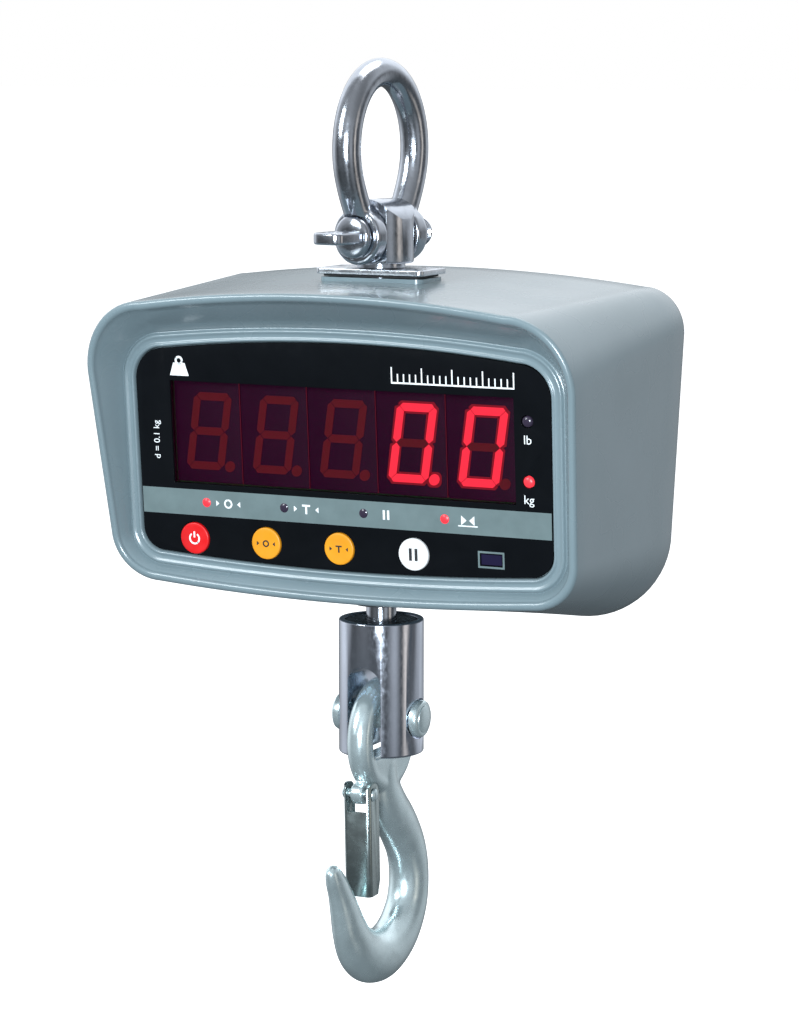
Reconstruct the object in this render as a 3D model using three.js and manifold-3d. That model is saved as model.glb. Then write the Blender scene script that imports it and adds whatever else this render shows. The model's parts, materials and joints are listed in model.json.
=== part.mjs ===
// Hanging crane scale. A bow shackle carries a housing with a load cell, a five-digit LED
// display, four keys and a battery. A swivel clevis under it carries an eye hook with a latch.
// Millimetres, +Z up, the display faces -Y. The origin is the inside of the shackle's crown.
import * as THREE from "three";
import { mergeVertices } from "three/addons/utils/BufferGeometryUtils.js";
import Module from "manifold-3d";

const wasm = await Module();
wasm.setup();

// ---- Driving dimensions. Heights are measured from the middle of the front panel. ----

const GAP = 0.3; // between pieces that touch
const SLIP = 0.3; // radial clearance of a pin in its hole

const RIM = {
  halfWidth: 100.2, // of the housing's front edge, at its top corners
  taper: 6, // how much narrower each side is at the bottom
  top: 60,
  bottom: -54.8,
  crownTop: 9.5,
  crownBottom: 5.5,
  roundTop: 27,
  roundBottom: 18,
};
const RIM_PLACE = { depth: -43.7, tilt: 9.6, nose: 3 }; // the rim leans forward like a visor
const REAR = {
  halfWidth: 101.2,
  taper: 7.2,
  top: 63.9,
  bottom: -68,
  crownTop: 7.4,
  crownBottom: 1,
  roundTop: 17,
  roundBottom: 34,
};
const SHELL = { back: 61, backRound: 11, wall: 3, pad: 63 };
const PANEL = {
  halfWidth: 84.4,
  taper: 0.6,
  top: 41,
  bottom: -43,
  crownTop: 6,
  crownBottom: 3.6,
  roundTop: 12,
  roundBottom: 8.5,
};
const PANEL_PLACE = { depth: -34, tilt: 4.2, thick: 1.8, sealThick: 0.8, ledge: 4 };
const BEAD = { from: 0.9, width: 3.6, edge: 5.4, proud: 1.1, chamfer: 0.4 }; // raised frame round the panel

const DIGIT = { count: 5, width: 28, deep: 9, top: 24.7, bottom: -14, clear: 0.6 };
const FILTER_THICK = 1.5;
const WIDE_HOLE = 4; // holes in the panel above this radius are drawn with more sides
const KEY = { radius: 6, pitch: 30.3, first: -62, row: -34.8, travel: 0.5, proud: 0.6, thick: 1.6, plunger: 1.8 };
const SWITCH = { side: 6, height: 3.9 };
const LAMP_TIP = { round: 0.9, flat: 1.4, crown: 0.2 }; // the lens's rounded end
const LAMP = { radius: 2.1, first: -56.4, pitch: 32.7, row: -20.9, unitAcross: 75.1, lbRow: 16.3, kgRow: -5.4 };
const EYE_WINDOW = { across: 59.7, row: -34.8, width: 8.6, height: 4.4 };
const BOARD = { thick: 1.6, depth: 12, halfWidth: 84, top: 39, bottom: -40.5 };
const SPACER = { radius: 2.5, places: [[-80, 35], [80, 35], [-79.5, -36.5], [79.5, -36.5]] };
const MAIN_BOARD = { left: 34, right: 84, bottom: -36, top: 34, behind: 14, frameWall: 2, frameInset: 4 };
const BUZZER = { radius: 6, height: 7, across: 70, row: -20, port: 1, floor: 2 };

const SHACKLE = {
  rod: 5, // radius of the bow's bar
  insideLength: 49.3, // from the pin's top to the crown
  pin: 5.5,
  jaw: 18.3, // between the ears
  ear: 10.4,
  earThick: 6.5,
  bowRadius: 21.1, // half the bow's width at its widest, to the bar's centreline
  archRise: 28, // from the widest place to the crown, along the bar's centreline
  earSplay: 12.6, // of the bar's centreline at the ears
  turn: -10, // degrees that the shackle and the lug are turned from square
};
const PIN_HEAD = { collar: 7.8, collarThick: 3, tabThick: 4.4, tabWidth: 13, tabLength: 15, tabHole: 2.6, tail: 10 };
const PIN_HEIGHT = 78.4;
const LUG = { radius: 12.2, thick: 17, top: 13.4, bottom: 10.2, neck: 9, shank: 6 };
const TOP_PLATE = { width: 44, deep: 22, thick: 2.1, round: 2, sealThick: 0.6, sealInset: 2, padMargin: -1 };
const NUT = { flats: 18, thick: 7 };

const CELL = { width: 50, deep: 20, top: 31, slot: 3, slotHeight: 10, reach: 38, thread: 14, gauge: 6 };
const BATTERY = { width: 97, deep: 33, height: 66, middle: -4 };
const CLAMP = { thick: 1.5, width: 24, foot: 12 };
const COVER = { inset: 17, ledge: 5, ledgeThick: 3, thick: 3, sealThick: 0.8 };
const SCREW = { radius: 1.9, head: 3.6, headThick: 2, length: 12, boss: 4.6, margin: 7, holeFloor: 2 };
const SOCKET = { radius: 5.5, flange: 7.5, flangeThick: 1.4, bore: 3, deep: 12, across: -66, height: 22, pin: 1 };

const STEM = { radius: 5.7, head: 9, headThick: 5 };
const CLEVIS = { radius: 16, top: -64.9, length: 51, slot: 13.8, slotTop: -81.6, pinHeight: -102.2, chamfer: 0.8 };
const CAP = { radius: 13.2, thick: 4.4, recess: 0.5 };
const BEARING = { radius: 11, thick: 4 };
const CLEVIS_PIN = { radius: 5, head: 7, headThick: 4.4, spotFace: 14.2, crown: 1.6 };
const SEAL = { hole: 11, height: 5.4, bottom: -59.4 };

const EYE = { inside: 12.9, half: 4.9 };
const WEB = { rise: 6.5, half: 3.4, across: 13.2, sunk: 2 }; // fills the foot of the eye
const LATCH = { pivot: [-17.8, -128.9], halfWidth: 5.6, sheet: 1.2, front: 3.7, back: 4.4, length: 38.9, ear: 4.2, lean: 2 };
const NOTCH = { down: 6.4, ear: 1.3 };
const RIVET = { radius: 1.6, head: 2.4, headThick: 1.1 };
const BOSS = { half: 2.4, radius: 4 };
const SPRING = { wire: 0.2, radius: 2.6, turns: 2, leg: 9, legIn: 1.1 };

const CROWN = PIN_HEIGHT + SHACKLE.pin + SHACKLE.insideLength; // height of the origin

// ---- Colours and finishes ----

const finish = (color, roughness, metalness) => new THREE.MeshStandardMaterial({ color, roughness, metalness });
const paint = finish(0x8c9ba0, 0.32, 0.1);
const chrome = finish(0xc9ced2, 0.12, 1);
const zinc = finish(0xb4bec2, 0.3, 1);
const steel = finish(0x9a9ea2, 0.35, 1);
const darkSteel = finish(0x3c4248, 0.4, 0.9);
const aluminium = finish(0xb9bdc0, 0.4, 1);
const rubber = finish(0x17181a, 0.8, 0);
const black = finish(0x0b0d0f, 0.18, 0);
const redFilter = finish(0x2a0410, 0.1, 0);
const digitFace = finish(0x1c0712, 0.5, 0);
const lampRed = finish(0xff3a3a, 0.3, 0);
const keyRed = finish(0xee0c10, 0.4, 0);
const keyAmber = finish(0xf2a413, 0.4, 0);
const keyWhite = finish(0xf5f3f1, 0.4, 0);
const boardGreen = finish(0x1d5a34, 0.5, 0);
const casing = finish(0x2b2d30, 0.6, 0);

// ---- Geometries, and cuts and joins of them ----

const { degToRad } = THREE.MathUtils;

/** A closed three.js geometry as a manifold-3d solid, with its faces outwards. */
function solid(shape) {
  if (!shape.isBufferGeometry) return shape;
  const bare = shape.clone();
  bare.deleteAttribute("normal");
  bare.deleteAttribute("uv");
  const merged = mergeVertices(bare, 1e-4);
  const vertProperties = merged.attributes.position.array;
  const triVerts = new Uint32Array(merged.index.array);
  const made = new wasm.Manifold(new wasm.Mesh({ numProp: 3, vertProperties, triVerts }));
  if (made.volume() >= 0) return made;
  for (let i = 0; i < triVerts.length; i += 3) {
    [triVerts[i + 1], triVerts[i + 2]] = [triVerts[i + 2], triVerts[i + 1]];
  }
  return new wasm.Manifold(new wasm.Mesh({ numProp: 3, vertProperties, triVerts }));
}

const join = (first, ...others) => others.reduce((sum, next) => sum.add(solid(next)), solid(first));
const cut = (from, ...tools) => tools.reduce((rest, tool) => rest.subtract(solid(tool)), solid(from));
const common = (a, b) => solid(a).intersect(solid(b));

/** A shape as a named mesh. */
function piece(name, shape, material) {
  const { vertProperties, triVerts } = solid(shape).getMesh();
  const geometry = new THREE.BufferGeometry();
  geometry.setAttribute("position", new THREE.BufferAttribute(vertProperties, 3));
  geometry.setIndex(new THREE.BufferAttribute(triVerts, 1));
  const mesh = new THREE.Mesh(geometry, material);
  mesh.name = name;
  return mesh;
}

/** A block given by its lowest and highest corners. */
function block([x0, y0, z0], [x1, y1, z1]) {
  const box = new THREE.BoxGeometry(x1 - x0, y1 - y0, z1 - z0);
  return box.translate((x0 + x1) / 2, (y0 + y1) / 2, (z0 + z1) / 2);
}

/** A round bar between two points; sides of 6 gives a hexagon. */
function rod(radius, from, to, sides = 28) {
  const a = new THREE.Vector3(...from);
  const along = new THREE.Vector3(...to).sub(a);
  const bar = new THREE.CylinderGeometry(radius, radius, along.length(), sides);
  bar.translate(0, along.length() / 2, 0);
  bar.applyQuaternion(new THREE.Quaternion().setFromUnitVectors(new THREE.Vector3(0, 1, 0), along.normalize()));
  return bar.translate(...from);
}

/** A turned shape about +Z: profile is [radius, height] pairs, from the axis back to the axis. */
function turned(profile, sides = 32) {
  const lathe = new THREE.LatheGeometry(profile.map(([r, h]) => new THREE.Vector2(r, h)), sides);
  return lathe.rotateX(Math.PI / 2);
}

/** A hollow turned shape: profile is a closed loop of [radius, height] pairs, about +Z. */
const turnedRing = (profile, sides) => turned([...profile, profile[0]], sides);

/** A flat outline of [x, z] pairs, extruded along Y from one depth to another. */
function plate(points, from, to) {
  const shape = new THREE.Shape(points.map(([x, z]) => new THREE.Vector2(x, z)));
  const made = new THREE.ExtrudeGeometry(shape, { depth: to - from, bevelEnabled: false });
  return made.rotateX(Math.PI / 2).translate(0, to, 0);
}

/** A closed skin over rings that have equal numbers of points, with a flat cap on the first and last. */
function skin(rings) {
  const count = rings[0].length;
  const last = rings.length - 1;
  const points = rings.flat();
  const faces = [];
  for (let r = 0; r < last; r++) {
    for (let i = 0; i < count; i++) {
      const j = (i + 1) % count;
      const [a, b] = [r * count + i, r * count + j];
      faces.push(a, b, b + count, a, b + count, a + count);
    }
  }
  for (const r of [0, last]) {
    const middle = points.length;
    const centre = new THREE.Vector3();
    for (const p of rings[r]) centre.add(new THREE.Vector3(...p));
    points.push(centre.divideScalar(count).toArray());
    for (let i = 0; i < count; i++) {
      const [a, b] = [r * count + i, r * count + ((i + 1) % count)];
      faces.push(...(r === 0 ? [middle, b, a] : [middle, a, b]));
    }
  }
  const geometry = new THREE.BufferGeometry();
  geometry.setAttribute("position", new THREE.Float32BufferAttribute(points.flat(), 3));
  geometry.setIndex(faces);
  return geometry;
}

/** The housing's barrel outline as [x, z] pairs: crowned top and bottom, tapering sides, round corners. */
function outline(form, inset = 0) {
  const arcSteps = 5;
  const crownSteps = 4;
  const width = form.halfWidth - inset;
  const top = form.top - inset;
  const bottom = form.bottom + inset;
  const roundTop = Math.max(form.roundTop - inset, 1);
  const roundBottom = Math.max(form.roundBottom - inset, 1);
  const topAt = (x) => top - form.crownTop * (x / width) ** 2;
  const bottomAt = (x) => bottom + form.crownBottom * (x / width) ** 2;
  const sideAt = (z) => width - (form.taper * (top - z)) / (top - bottom);
  const xTop = width - roundTop;
  const zTop = topAt(xTop) - roundTop;
  const xBottom = sideAt(bottom) - roundBottom;
  const zBottom = bottomAt(xBottom) + roundBottom;
  const half = [];
  for (let i = 0; i < crownSteps; i++) {
    const x = (xTop * i) / crownSteps;
    half.push([x, topAt(x)]);
  }
  for (let i = 0; i <= arcSteps; i++) {
    const a = (Math.PI / 2) * (1 - i / arcSteps);
    half.push([xTop + (sideAt(zTop) - xTop) * Math.cos(a), zTop + roundTop * Math.sin(a)]);
  }
  for (let i = 0; i <= arcSteps; i++) {
    const a = (-Math.PI / 2) * (i / arcSteps);
    half.push([xBottom + (sideAt(zBottom) - xBottom) * Math.cos(a), zBottom + roundBottom * Math.sin(a)]);
  }
  for (let i = 1; i <= crownSteps; i++) {
    const x = xBottom * (1 - i / crownSteps);
    half.push([x, bottomAt(x)]);
  }
  const mirrored = half.slice(1, -1).reverse().map(([x, z]) => [-x, z]);
  return [...half, ...mirrored];
}

/** Points of a circle as [x, z] pairs. */
function circle(radius, [x, z] = [0, 0], sides = 24) {
  return Array.from({ length: sides }, (_, i) => {
    const a = (2 * Math.PI * i) / sides;
    return [x + radius * Math.cos(a), z + radius * Math.sin(a)];
  });
}

/** A rectangle with rounded corners, as [x, z] pairs. */
function roundedBox(halfWidth, halfHeight, radius) {
  const corners = [[1, 1], [-1, 1], [-1, -1], [1, -1]];
  return corners.flatMap(([sx, sz], quarter) =>
    [0, 1, 2, 3].map((step) => {
      const a = (Math.PI / 2) * (quarter + step / 3);
      return [sx * (halfWidth - radius) + radius * Math.cos(a), sz * (halfHeight - radius) + radius * Math.sin(a)];
    }),
  );
}

// ---- The tilted front face ----

const faceTilt = degToRad(PANEL_PLACE.tilt);
const faceMatrix = new THREE.Matrix4().makeRotationX(faceTilt).setPosition(0, PANEL_PLACE.depth, 0);
const onFace = (geometry) => geometry.applyMatrix4(faceMatrix);
const face = new THREE.Group();
face.rotation.x = faceTilt;
face.position.y = PANEL_PLACE.depth;

const pocketFloor = PANEL_PLACE.thick + PANEL_PLACE.sealThick + 2 * GAP;
const cavityFront = pocketFloor + SHELL.wall;
const boardBack = BOARD.depth + BOARD.thick;

function frontPanel() {
  const windowCut = block(
    [-(DIGIT.count * DIGIT.width) / 2, -1, DIGIT.bottom],
    [(DIGIT.count * DIGIT.width) / 2, PANEL_PLACE.thick + 1, DIGIT.top],
  );
  const hole = (radius, [x, z]) => rod(radius, [x, -1, z], [x, PANEL_PLACE.thick + 1, z], radius > WIDE_HOLE ? 28 : 14);
  const eye = block(
    [EYE_WINDOW.across - EYE_WINDOW.width / 2, -1, EYE_WINDOW.row - EYE_WINDOW.height / 2],
    [EYE_WINDOW.across + EYE_WINDOW.width / 2, PANEL_PLACE.thick + 1, EYE_WINDOW.row + EYE_WINDOW.height / 2],
  );
  const panel = cut(
    plate(outline(PANEL), 0, PANEL_PLACE.thick),
    windowCut,
    eye,
    ...keyPlaces.map((place) => hole(KEY.radius + SLIP, place)),
    ...Object.values(lampPlaces).map((place) => hole(LAMP.radius + GAP, place)),
  );
  face.add(piece("front_panel", panel, black));
  const sealFront = PANEL_PLACE.thick + GAP;
  const seal = cut(
    plate(outline(PANEL, GAP), sealFront, sealFront + PANEL_PLACE.sealThick),
    plate(outline(PANEL, PANEL_PLACE.ledge), 0, pocketFloor),
  );
  face.add(piece("panel_gasket", seal, rubber));
}

const keyPlaces = [0, 1, 2, 3].map((i) => [KEY.first + KEY.pitch * i, KEY.row]);
const keyNames = ["on_off", "zero", "tare", "hold"];
const keyColours = [keyRed, keyAmber, keyAmber, keyWhite];
const lampPlaces = {
  zero: [LAMP.first, LAMP.row],
  tare: [LAMP.first + LAMP.pitch, LAMP.row],
  hold: [LAMP.first + 2 * LAMP.pitch, LAMP.row],
  stable: [LAMP.first + 3 * LAMP.pitch, LAMP.row],
  lb: [LAMP.unitAcross, LAMP.lbRow],
  kg: [LAMP.unitAcross, LAMP.kgRow],
};

function display() {
  const half = (DIGIT.count * DIGIT.width) / 2 - GAP;
  const filter = block([-half, GAP, DIGIT.bottom + GAP], [half, GAP + FILTER_THICK, DIGIT.top - GAP]);
  face.add(piece("display_filter", filter, redFilter));
  for (let i = 0; i < DIGIT.count; i++) {
    const left = (i - DIGIT.count / 2) * DIGIT.width + DIGIT.clear / 2;
    const back = BOARD.depth - GAP;
    const low = [left, back - DIGIT.deep, DIGIT.bottom + GAP];
    const high = [left + DIGIT.width - DIGIT.clear, back, DIGIT.top - GAP];
    face.add(piece(`digit_${i + 1}`, block(low, high), digitFace));
  }
}

function lamps() {
  for (const [name, [x, z]] of Object.entries(lampPlaces)) {
    const deep = BOARD.depth - GAP;
    const lens = turned(
      [
        [0, 0],
        [LAMP.radius, 0],
        [LAMP.radius, deep - LAMP_TIP.round],
        [LAMP_TIP.flat, deep - LAMP_TIP.crown],
        [0, deep],
      ],
      16,
    );
    face.add(piece(`lamp_${name}`, lens.rotateX(Math.PI / 2).translate(x, deep, z), lampRed));
  }
}

function keys() {
  const switchFront = BOARD.depth - GAP - SWITCH.height;
  const plungerEnd = switchFront - GAP - KEY.travel;
  keyPlaces.forEach(([x, z], i) => {
    const cap = rod(KEY.radius, [x, -KEY.proud, z], [x, KEY.thick - KEY.proud, z]);
    const plunger = rod(KEY.plunger, [x, 0, z], [x, plungerEnd, z], 12);
    face.add(piece(`key_${keyNames[i]}`, join(cap, plunger), keyColours[i]));
    const half = SWITCH.side / 2;
    const body = block([x - half, switchFront, z - half], [x + half, switchFront + SWITCH.height, z + half]);
    face.add(piece(`switch_${keyNames[i]}`, body, casing));
  });
  const eye = block(
    [EYE_WINDOW.across - EYE_WINDOW.width / 2 + GAP, GAP, EYE_WINDOW.row - EYE_WINDOW.height / 2 + GAP],
    [EYE_WINDOW.across + EYE_WINDOW.width / 2 - GAP, BOARD.depth - GAP, EYE_WINDOW.row + EYE_WINDOW.height / 2 - GAP],
  );
  face.add(piece("infrared_receiver", eye, casing));
}

function boards() {
  const displayBoard = block(
    [-BOARD.halfWidth, BOARD.depth, BOARD.bottom],
    [BOARD.halfWidth, boardBack, BOARD.top],
  );
  face.add(piece("display_board", displayBoard, boardGreen));
  SPACER.places.forEach(([x, z], i) => {
    const spacer = rod(SPACER.radius, [x, cavityFront + GAP, z], [x, BOARD.depth - GAP, z], 12);
    face.add(piece(`board_spacer_${i + 1}`, spacer, steel));
  });
  const { left, right, bottom, top, behind, frameWall, frameInset } = MAIN_BOARD;
  const front = boardBack + behind;
  face.add(piece("main_board", block([left, front, bottom], [right, front + BOARD.thick, top]), boardGreen));
  const [a, b] = [frameInset, frameInset + frameWall];
  const frame = cut(
    block([left + a, boardBack + GAP, bottom + a], [right - a, front - GAP, top - a]),
    block([left + b, boardBack, bottom + b], [right - b, front, top - b]),
  );
  face.add(piece("main_board_frame", frame, casing));
  const buzzerFront = front + BOARD.thick + GAP;
  const buzzerAt = [BUZZER.across, BUZZER.row];
  const buzzer = cut(
    plate(circle(BUZZER.radius, buzzerAt), buzzerFront, buzzerFront + BUZZER.height),
    plate(circle(BUZZER.port, buzzerAt, 12), buzzerFront + BUZZER.floor, buzzerFront + BUZZER.height + 1),
  );
  face.add(piece("buzzer", buzzer, casing));
}

// ---- The housing ----

const rimDepth = (z) => RIM_PLACE.depth - z * Math.tan(degToRad(RIM_PLACE.tilt));
const coverFloor = SHELL.back - COVER.thick - COVER.sealThick - 2 * GAP;
const ledgeFront = coverFloor - COVER.ledgeThick;
const coverHole = COVER.inset + COVER.ledge;

/** A ring of the panel's outline grown by an amount, at a depth behind the panel's face. */
function faceRing(grow, depth) {
  const [c, s] = [Math.cos(faceTilt), Math.sin(faceTilt)];
  return outline(PANEL, -grow).map(([x, z]) => [x, PANEL_PLACE.depth + depth * c - z * s, z * c + depth * s]);
}

/** The housing's outside with its visor rim, and the raised frame round the panel. */
function housingOutside() {
  const { from, width, edge, proud, chamfer } = BEAD;
  const rings = [
    faceRing(from, 0),
    faceRing(from + chamfer, -proud),
    faceRing(from + width - chamfer, -proud),
    faceRing(from + width, 0),
    faceRing(edge, 0),
  ];
  for (let degrees = 60; degrees >= -90; degrees -= 30) {
    const a = degToRad(degrees);
    const inset = RIM_PLACE.nose * (1 + Math.sin(a));
    const behind = RIM_PLACE.nose * (1 - Math.cos(a));
    rings.push(outline(RIM, inset).map(([x, z]) => [x, rimDepth(z) + behind, z]));
  }
  for (let degrees = 0; degrees <= 90; degrees += 22.5) {
    const a = degToRad(degrees);
    const depth = SHELL.back - SHELL.backRound * (1 - Math.sin(a));
    const inset = SHELL.backRound * (1 - Math.cos(a));
    rings.push(outline(REAR, inset).map(([x, z]) => [x, depth, z]));
  }
  return skin(rings);
}

/** The space inside the housing, from behind the panel to the ledge of the rear cover. */
function housingCavity() {
  const front = PANEL_PLACE.depth + cavityFront;
  const t = (front - RIM_PLACE.depth) / (SHELL.back - SHELL.backRound - RIM_PLACE.depth);
  const near = outline(RIM, SHELL.wall);
  const far = outline(REAR, SHELL.wall);
  const start = near.map(([x, z], i) => {
    const [u, v] = [x + (far[i][0] - x) * t, z + (far[i][1] - z) * t];
    return [u, front - v * Math.tan(faceTilt), v];
  });
  const middle = far.map(([x, z]) => [x, SHELL.back - SHELL.backRound, z]);
  const end = outline(REAR, SHELL.wall + 1).map(([x, z]) => [x, ledgeFront, z]);
  return skin([start, middle, end]);
}

/** Places of the rear cover's screws, just inside its corners. */
function screwPlaces() {
  const ring = outline(REAR, COVER.inset + SCREW.margin);
  const corner = (right, up) =>
    ring.reduce((best, p) => (right * p[0] + up * p[1] > right * best[0] + up * best[1] ? p : best));
  return [corner(-1, 1), corner(1, 1), corner(-1, -1), corner(1, -1)];
}

function housing() {
  const padX = TOP_PLATE.width / 2 + TOP_PLATE.padMargin;
  const padY = TOP_PLATE.deep / 2 + TOP_PLATE.padMargin;
  const pad = block([-padX, -padY, SHELL.pad - 5], [padX, padY, SHELL.pad]);
  const screwFront = ledgeFront - (SCREW.length - COVER.thick);
  const bosses = screwPlaces().map(([x, z]) => rod(SCREW.boss, [x, screwFront, z], [x, coverFloor, z], 16));
  const screwHoles = screwPlaces().map(([x, z]) =>
    rod(SCREW.radius + SLIP, [x, screwFront + SCREW.holeFloor, z], [x, SHELL.back + 1, z], 12),
  );
  const hollow = cut(
    join(housingOutside(), pad),
    onFace(plate(outline(PANEL, -GAP), -9, pocketFloor)),
    onFace(plate(outline(PANEL, PANEL_PLACE.ledge), 0, cavityFront + 2)),
    housingCavity(),
    plate(outline(REAR, COVER.inset), coverFloor, SHELL.back + 1),
    plate(outline(REAR, coverHole), ledgeFront - 1, SHELL.back + 1),
  );
  const shell = cut(
    join(hollow, ...bosses),
    ...screwHoles,
    rod(LUG.shank + SLIP, [0, 0, 0], [0, 0, SHELL.pad + 1]),
    rod(SEAL.hole, [0, 0, -80], [0, 0, 0]),
  );
  return piece("housing_shell", shell, paint);
}

function rearCover() {
  const front = SHELL.back - COVER.thick;
  const [sx, sz] = [SOCKET.across, SOCKET.height];
  const at = (radius, from, to, sides = 20) => rod(radius, [sx, from, sz], [sx, to, sz], sides);
  const flangeFront = SHELL.back - SOCKET.flangeThick;
  const heads = screwPlaces().flatMap(([x, z]) => [
    rod(SCREW.radius + SLIP, [x, front - 1, z], [x, SHELL.back + 1, z], 12),
    rod(SCREW.head + GAP, [x, SHELL.back - SCREW.headThick - GAP, z], [x, SHELL.back + 1, z], 20),
  ]);
  const cover = cut(
    plate(outline(REAR, COVER.inset + GAP), front, SHELL.back),
    at(SOCKET.radius + GAP, front - 1, SHELL.back + 1),
    at(SOCKET.flange + GAP, flangeFront - GAP, SHELL.back + 1),
    ...heads,
  );
  const sealFront = coverFloor + GAP;
  const seal = cut(
    plate(outline(REAR, COVER.inset + GAP), sealFront, sealFront + COVER.sealThick),
    plate(outline(REAR, coverHole), sealFront - 1, front),
    ...screwPlaces().map(([x, z]) => rod(SCREW.boss, [x, front - 5, z], [x, front, z], 16)),
  );
  const bore = at(SOCKET.bore, SHELL.back - SOCKET.deep + 3, SHELL.back + 1, 16);
  const contact = at(SOCKET.pin, SHELL.back - SOCKET.deep + 1, SHELL.back - 2, 10);
  const barrel = at(SOCKET.radius, SHELL.back - SOCKET.deep, SHELL.back - GAP);
  const socket = join(cut(join(barrel, at(SOCKET.flange, flangeFront, SHELL.back)), bore), contact);
  const screws = screwPlaces().map(([x, z], i) => {
    const tip = SHELL.back - SCREW.length;
    const headFront = SHELL.back - SCREW.headThick;
    const screw = join(
      rod(SCREW.radius, [x, tip, z], [x, headFront + 1, z], 12),
      cut(
        rod(SCREW.head, [x, headFront, z], [x, SHELL.back - GAP, z], 20),
        rod(1.5, [x, SHELL.back - 1.3, z], [x, SHELL.back, z], 6),
      ),
    );
    return piece(`cover_screw_${i + 1}`, screw, steel);
  });
  return [
    piece("rear_cover", cover, paint),
    piece("rear_gasket", seal, rubber),
    piece("charging_socket", socket, casing),
    ...screws,
  ];
}

function battery() {
  const back = SHELL.back - COVER.thick - GAP;
  const [half, low, high] = [BATTERY.width / 2, BATTERY.middle - BATTERY.height / 2, BATTERY.middle + BATTERY.height / 2];
  const front = back - BATTERY.deep;
  const pack = block([-half, front, low], [half, back, high]);
  const inner = half + GAP;
  const outer = inner + CLAMP.thick;
  const [zLow, zHigh] = [BATTERY.middle - CLAMP.width / 2, BATTERY.middle + CLAMP.width / 2];
  const strap = cut(
    join(
      block([-outer, front - GAP - CLAMP.thick, zLow], [outer, back, zHigh]),
      block([-outer - CLAMP.foot, back - CLAMP.thick, zLow], [outer + CLAMP.foot, back, zHigh]),
    ),
    block([-inner, front - GAP, zLow - 1], [inner, back + 1, zHigh + 1]),
  );
  return [piece("battery_pack", pack, casing), piece("battery_clamp", strap, steel)];
}

// ---- The load path: lug, cell, stem ----

const plateBottom = SHELL.pad + TOP_PLATE.sealThick + 2 * GAP;
const plateTop = plateBottom + TOP_PLATE.thick;

function topFittings() {
  const shape = (inset) =>
    roundedBox(TOP_PLATE.width / 2 - inset, TOP_PLATE.deep / 2 - inset, TOP_PLATE.round);
  const level = (points, low, high) => plate(points, -high, -low).rotateX(-Math.PI / 2);
  const hole = rod(LUG.shank + SLIP, [0, 0, SHELL.pad], [0, 0, plateTop + 1]);
  const topPlate = cut(level(shape(0), plateBottom, plateTop), hole);
  const sealLow = SHELL.pad + GAP;
  const seal = cut(level(shape(TOP_PLATE.sealInset), sealLow, sealLow + TOP_PLATE.sealThick), hole);
  return [piece("top_plate", topPlate, chrome), piece("top_gasket", seal, rubber)];
}

function liftingLug() {
  const top = PIN_HEIGHT + LUG.top;
  const bottom = PIN_HEIGHT - LUG.bottom;
  const bar = turned([[0, bottom], [LUG.radius - 0.8, bottom], [LUG.radius, bottom + 0.8], [LUG.radius, top], [0, top]]);
  const tongue = join(
    plate(circle(LUG.top, [0, PIN_HEIGHT], 40), -LUG.thick / 2, LUG.thick / 2),
    block([-LUG.top, -LUG.thick / 2, bottom], [LUG.top, LUG.thick / 2, PIN_HEIGHT]),
  );
  const shankEnd = CELL.top - CELL.thread + GAP;
  const shank = join(
    rod(LUG.neck, [0, 0, plateTop + GAP], [0, 0, bottom + 1]),
    rod(LUG.shank, [0, 0, shankEnd], [0, 0, bottom + 1]),
  );
  const pinHole = rod(SHACKLE.pin + SLIP, [0, -20, PIN_HEIGHT], [0, 20, PIN_HEIGHT]);
  const lug = piece("lifting_lug", cut(join(common(bar, tongue), shank), pinHole), chrome);
  lug.rotation.z = degToRad(SHACKLE.turn);
  return lug;
}

function loadCell() {
  const bottom = -CELL.top;
  const half = CELL.width / 2;
  const reachEnd = -half + CELL.reach;
  const cell = cut(
    block([-half, -CELL.deep / 2, bottom], [half, CELL.deep / 2, CELL.top]),
    block([-half - 1, -CELL.deep, CELL.slotHeight], [reachEnd, CELL.deep, CELL.slotHeight + CELL.slot]),
    block([-reachEnd, -CELL.deep, -CELL.slotHeight - CELL.slot], [half + 1, CELL.deep, -CELL.slotHeight]),
    plate(circle(CELL.gauge), -CELL.deep, CELL.deep),
    rod(LUG.shank + SLIP, [0, 0, CELL.top - CELL.thread], [0, 0, CELL.top + 1]),
    rod(STEM.radius + SLIP, [0, 0, bottom - 1], [0, 0, bottom + CELL.thread]),
  );
  const nut = (name, bore, low) =>
    piece(
      name,
      cut(
        rod(NUT.flats / Math.sqrt(3), [0, 0, low], [0, 0, low + NUT.thick], 6),
        rod(bore + SLIP, [0, 0, low - 1], [0, 0, low + NUT.thick + 1]),
      ),
      steel,
    );
  return [
    piece("load_cell", cell, aluminium),
    nut("upper_lock_nut", LUG.shank, CELL.top + GAP),
    nut("lower_lock_nut", STEM.radius, bottom - GAP - NUT.thick),
  ];
}

const capTop = CLEVIS.top - CAP.recess;
const capBottom = capTop - CAP.thick;
const bearingTop = capBottom - GAP;
const stemHeadTop = bearingTop - BEARING.thick - GAP;
const chamberBottom = stemHeadTop - STEM.headThick - GAP;

function stem() {
  const top = -CELL.top + CELL.thread - GAP;
  const headBottom = stemHeadTop - STEM.headThick;
  const profile = [[0, headBottom], [STEM.head, headBottom], [STEM.head, stemHeadTop], [STEM.radius, stemHeadTop]];
  const bar = turned([...profile, [STEM.radius, top], [0, top]]);
  const [inner, outer] = [STEM.radius + GAP, SEAL.hole - GAP];
  const [low, high] = [SEAL.bottom, SEAL.bottom + SEAL.height];
  const sealProfile = [[inner, low], [outer, low], [outer, high], [inner, high]];
  return [
    piece("hook_stem", bar, chrome),
    piece("stem_seal", turnedRing(sealProfile, 28), rubber),
  ];
}

// ---- Shackle ----

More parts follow.
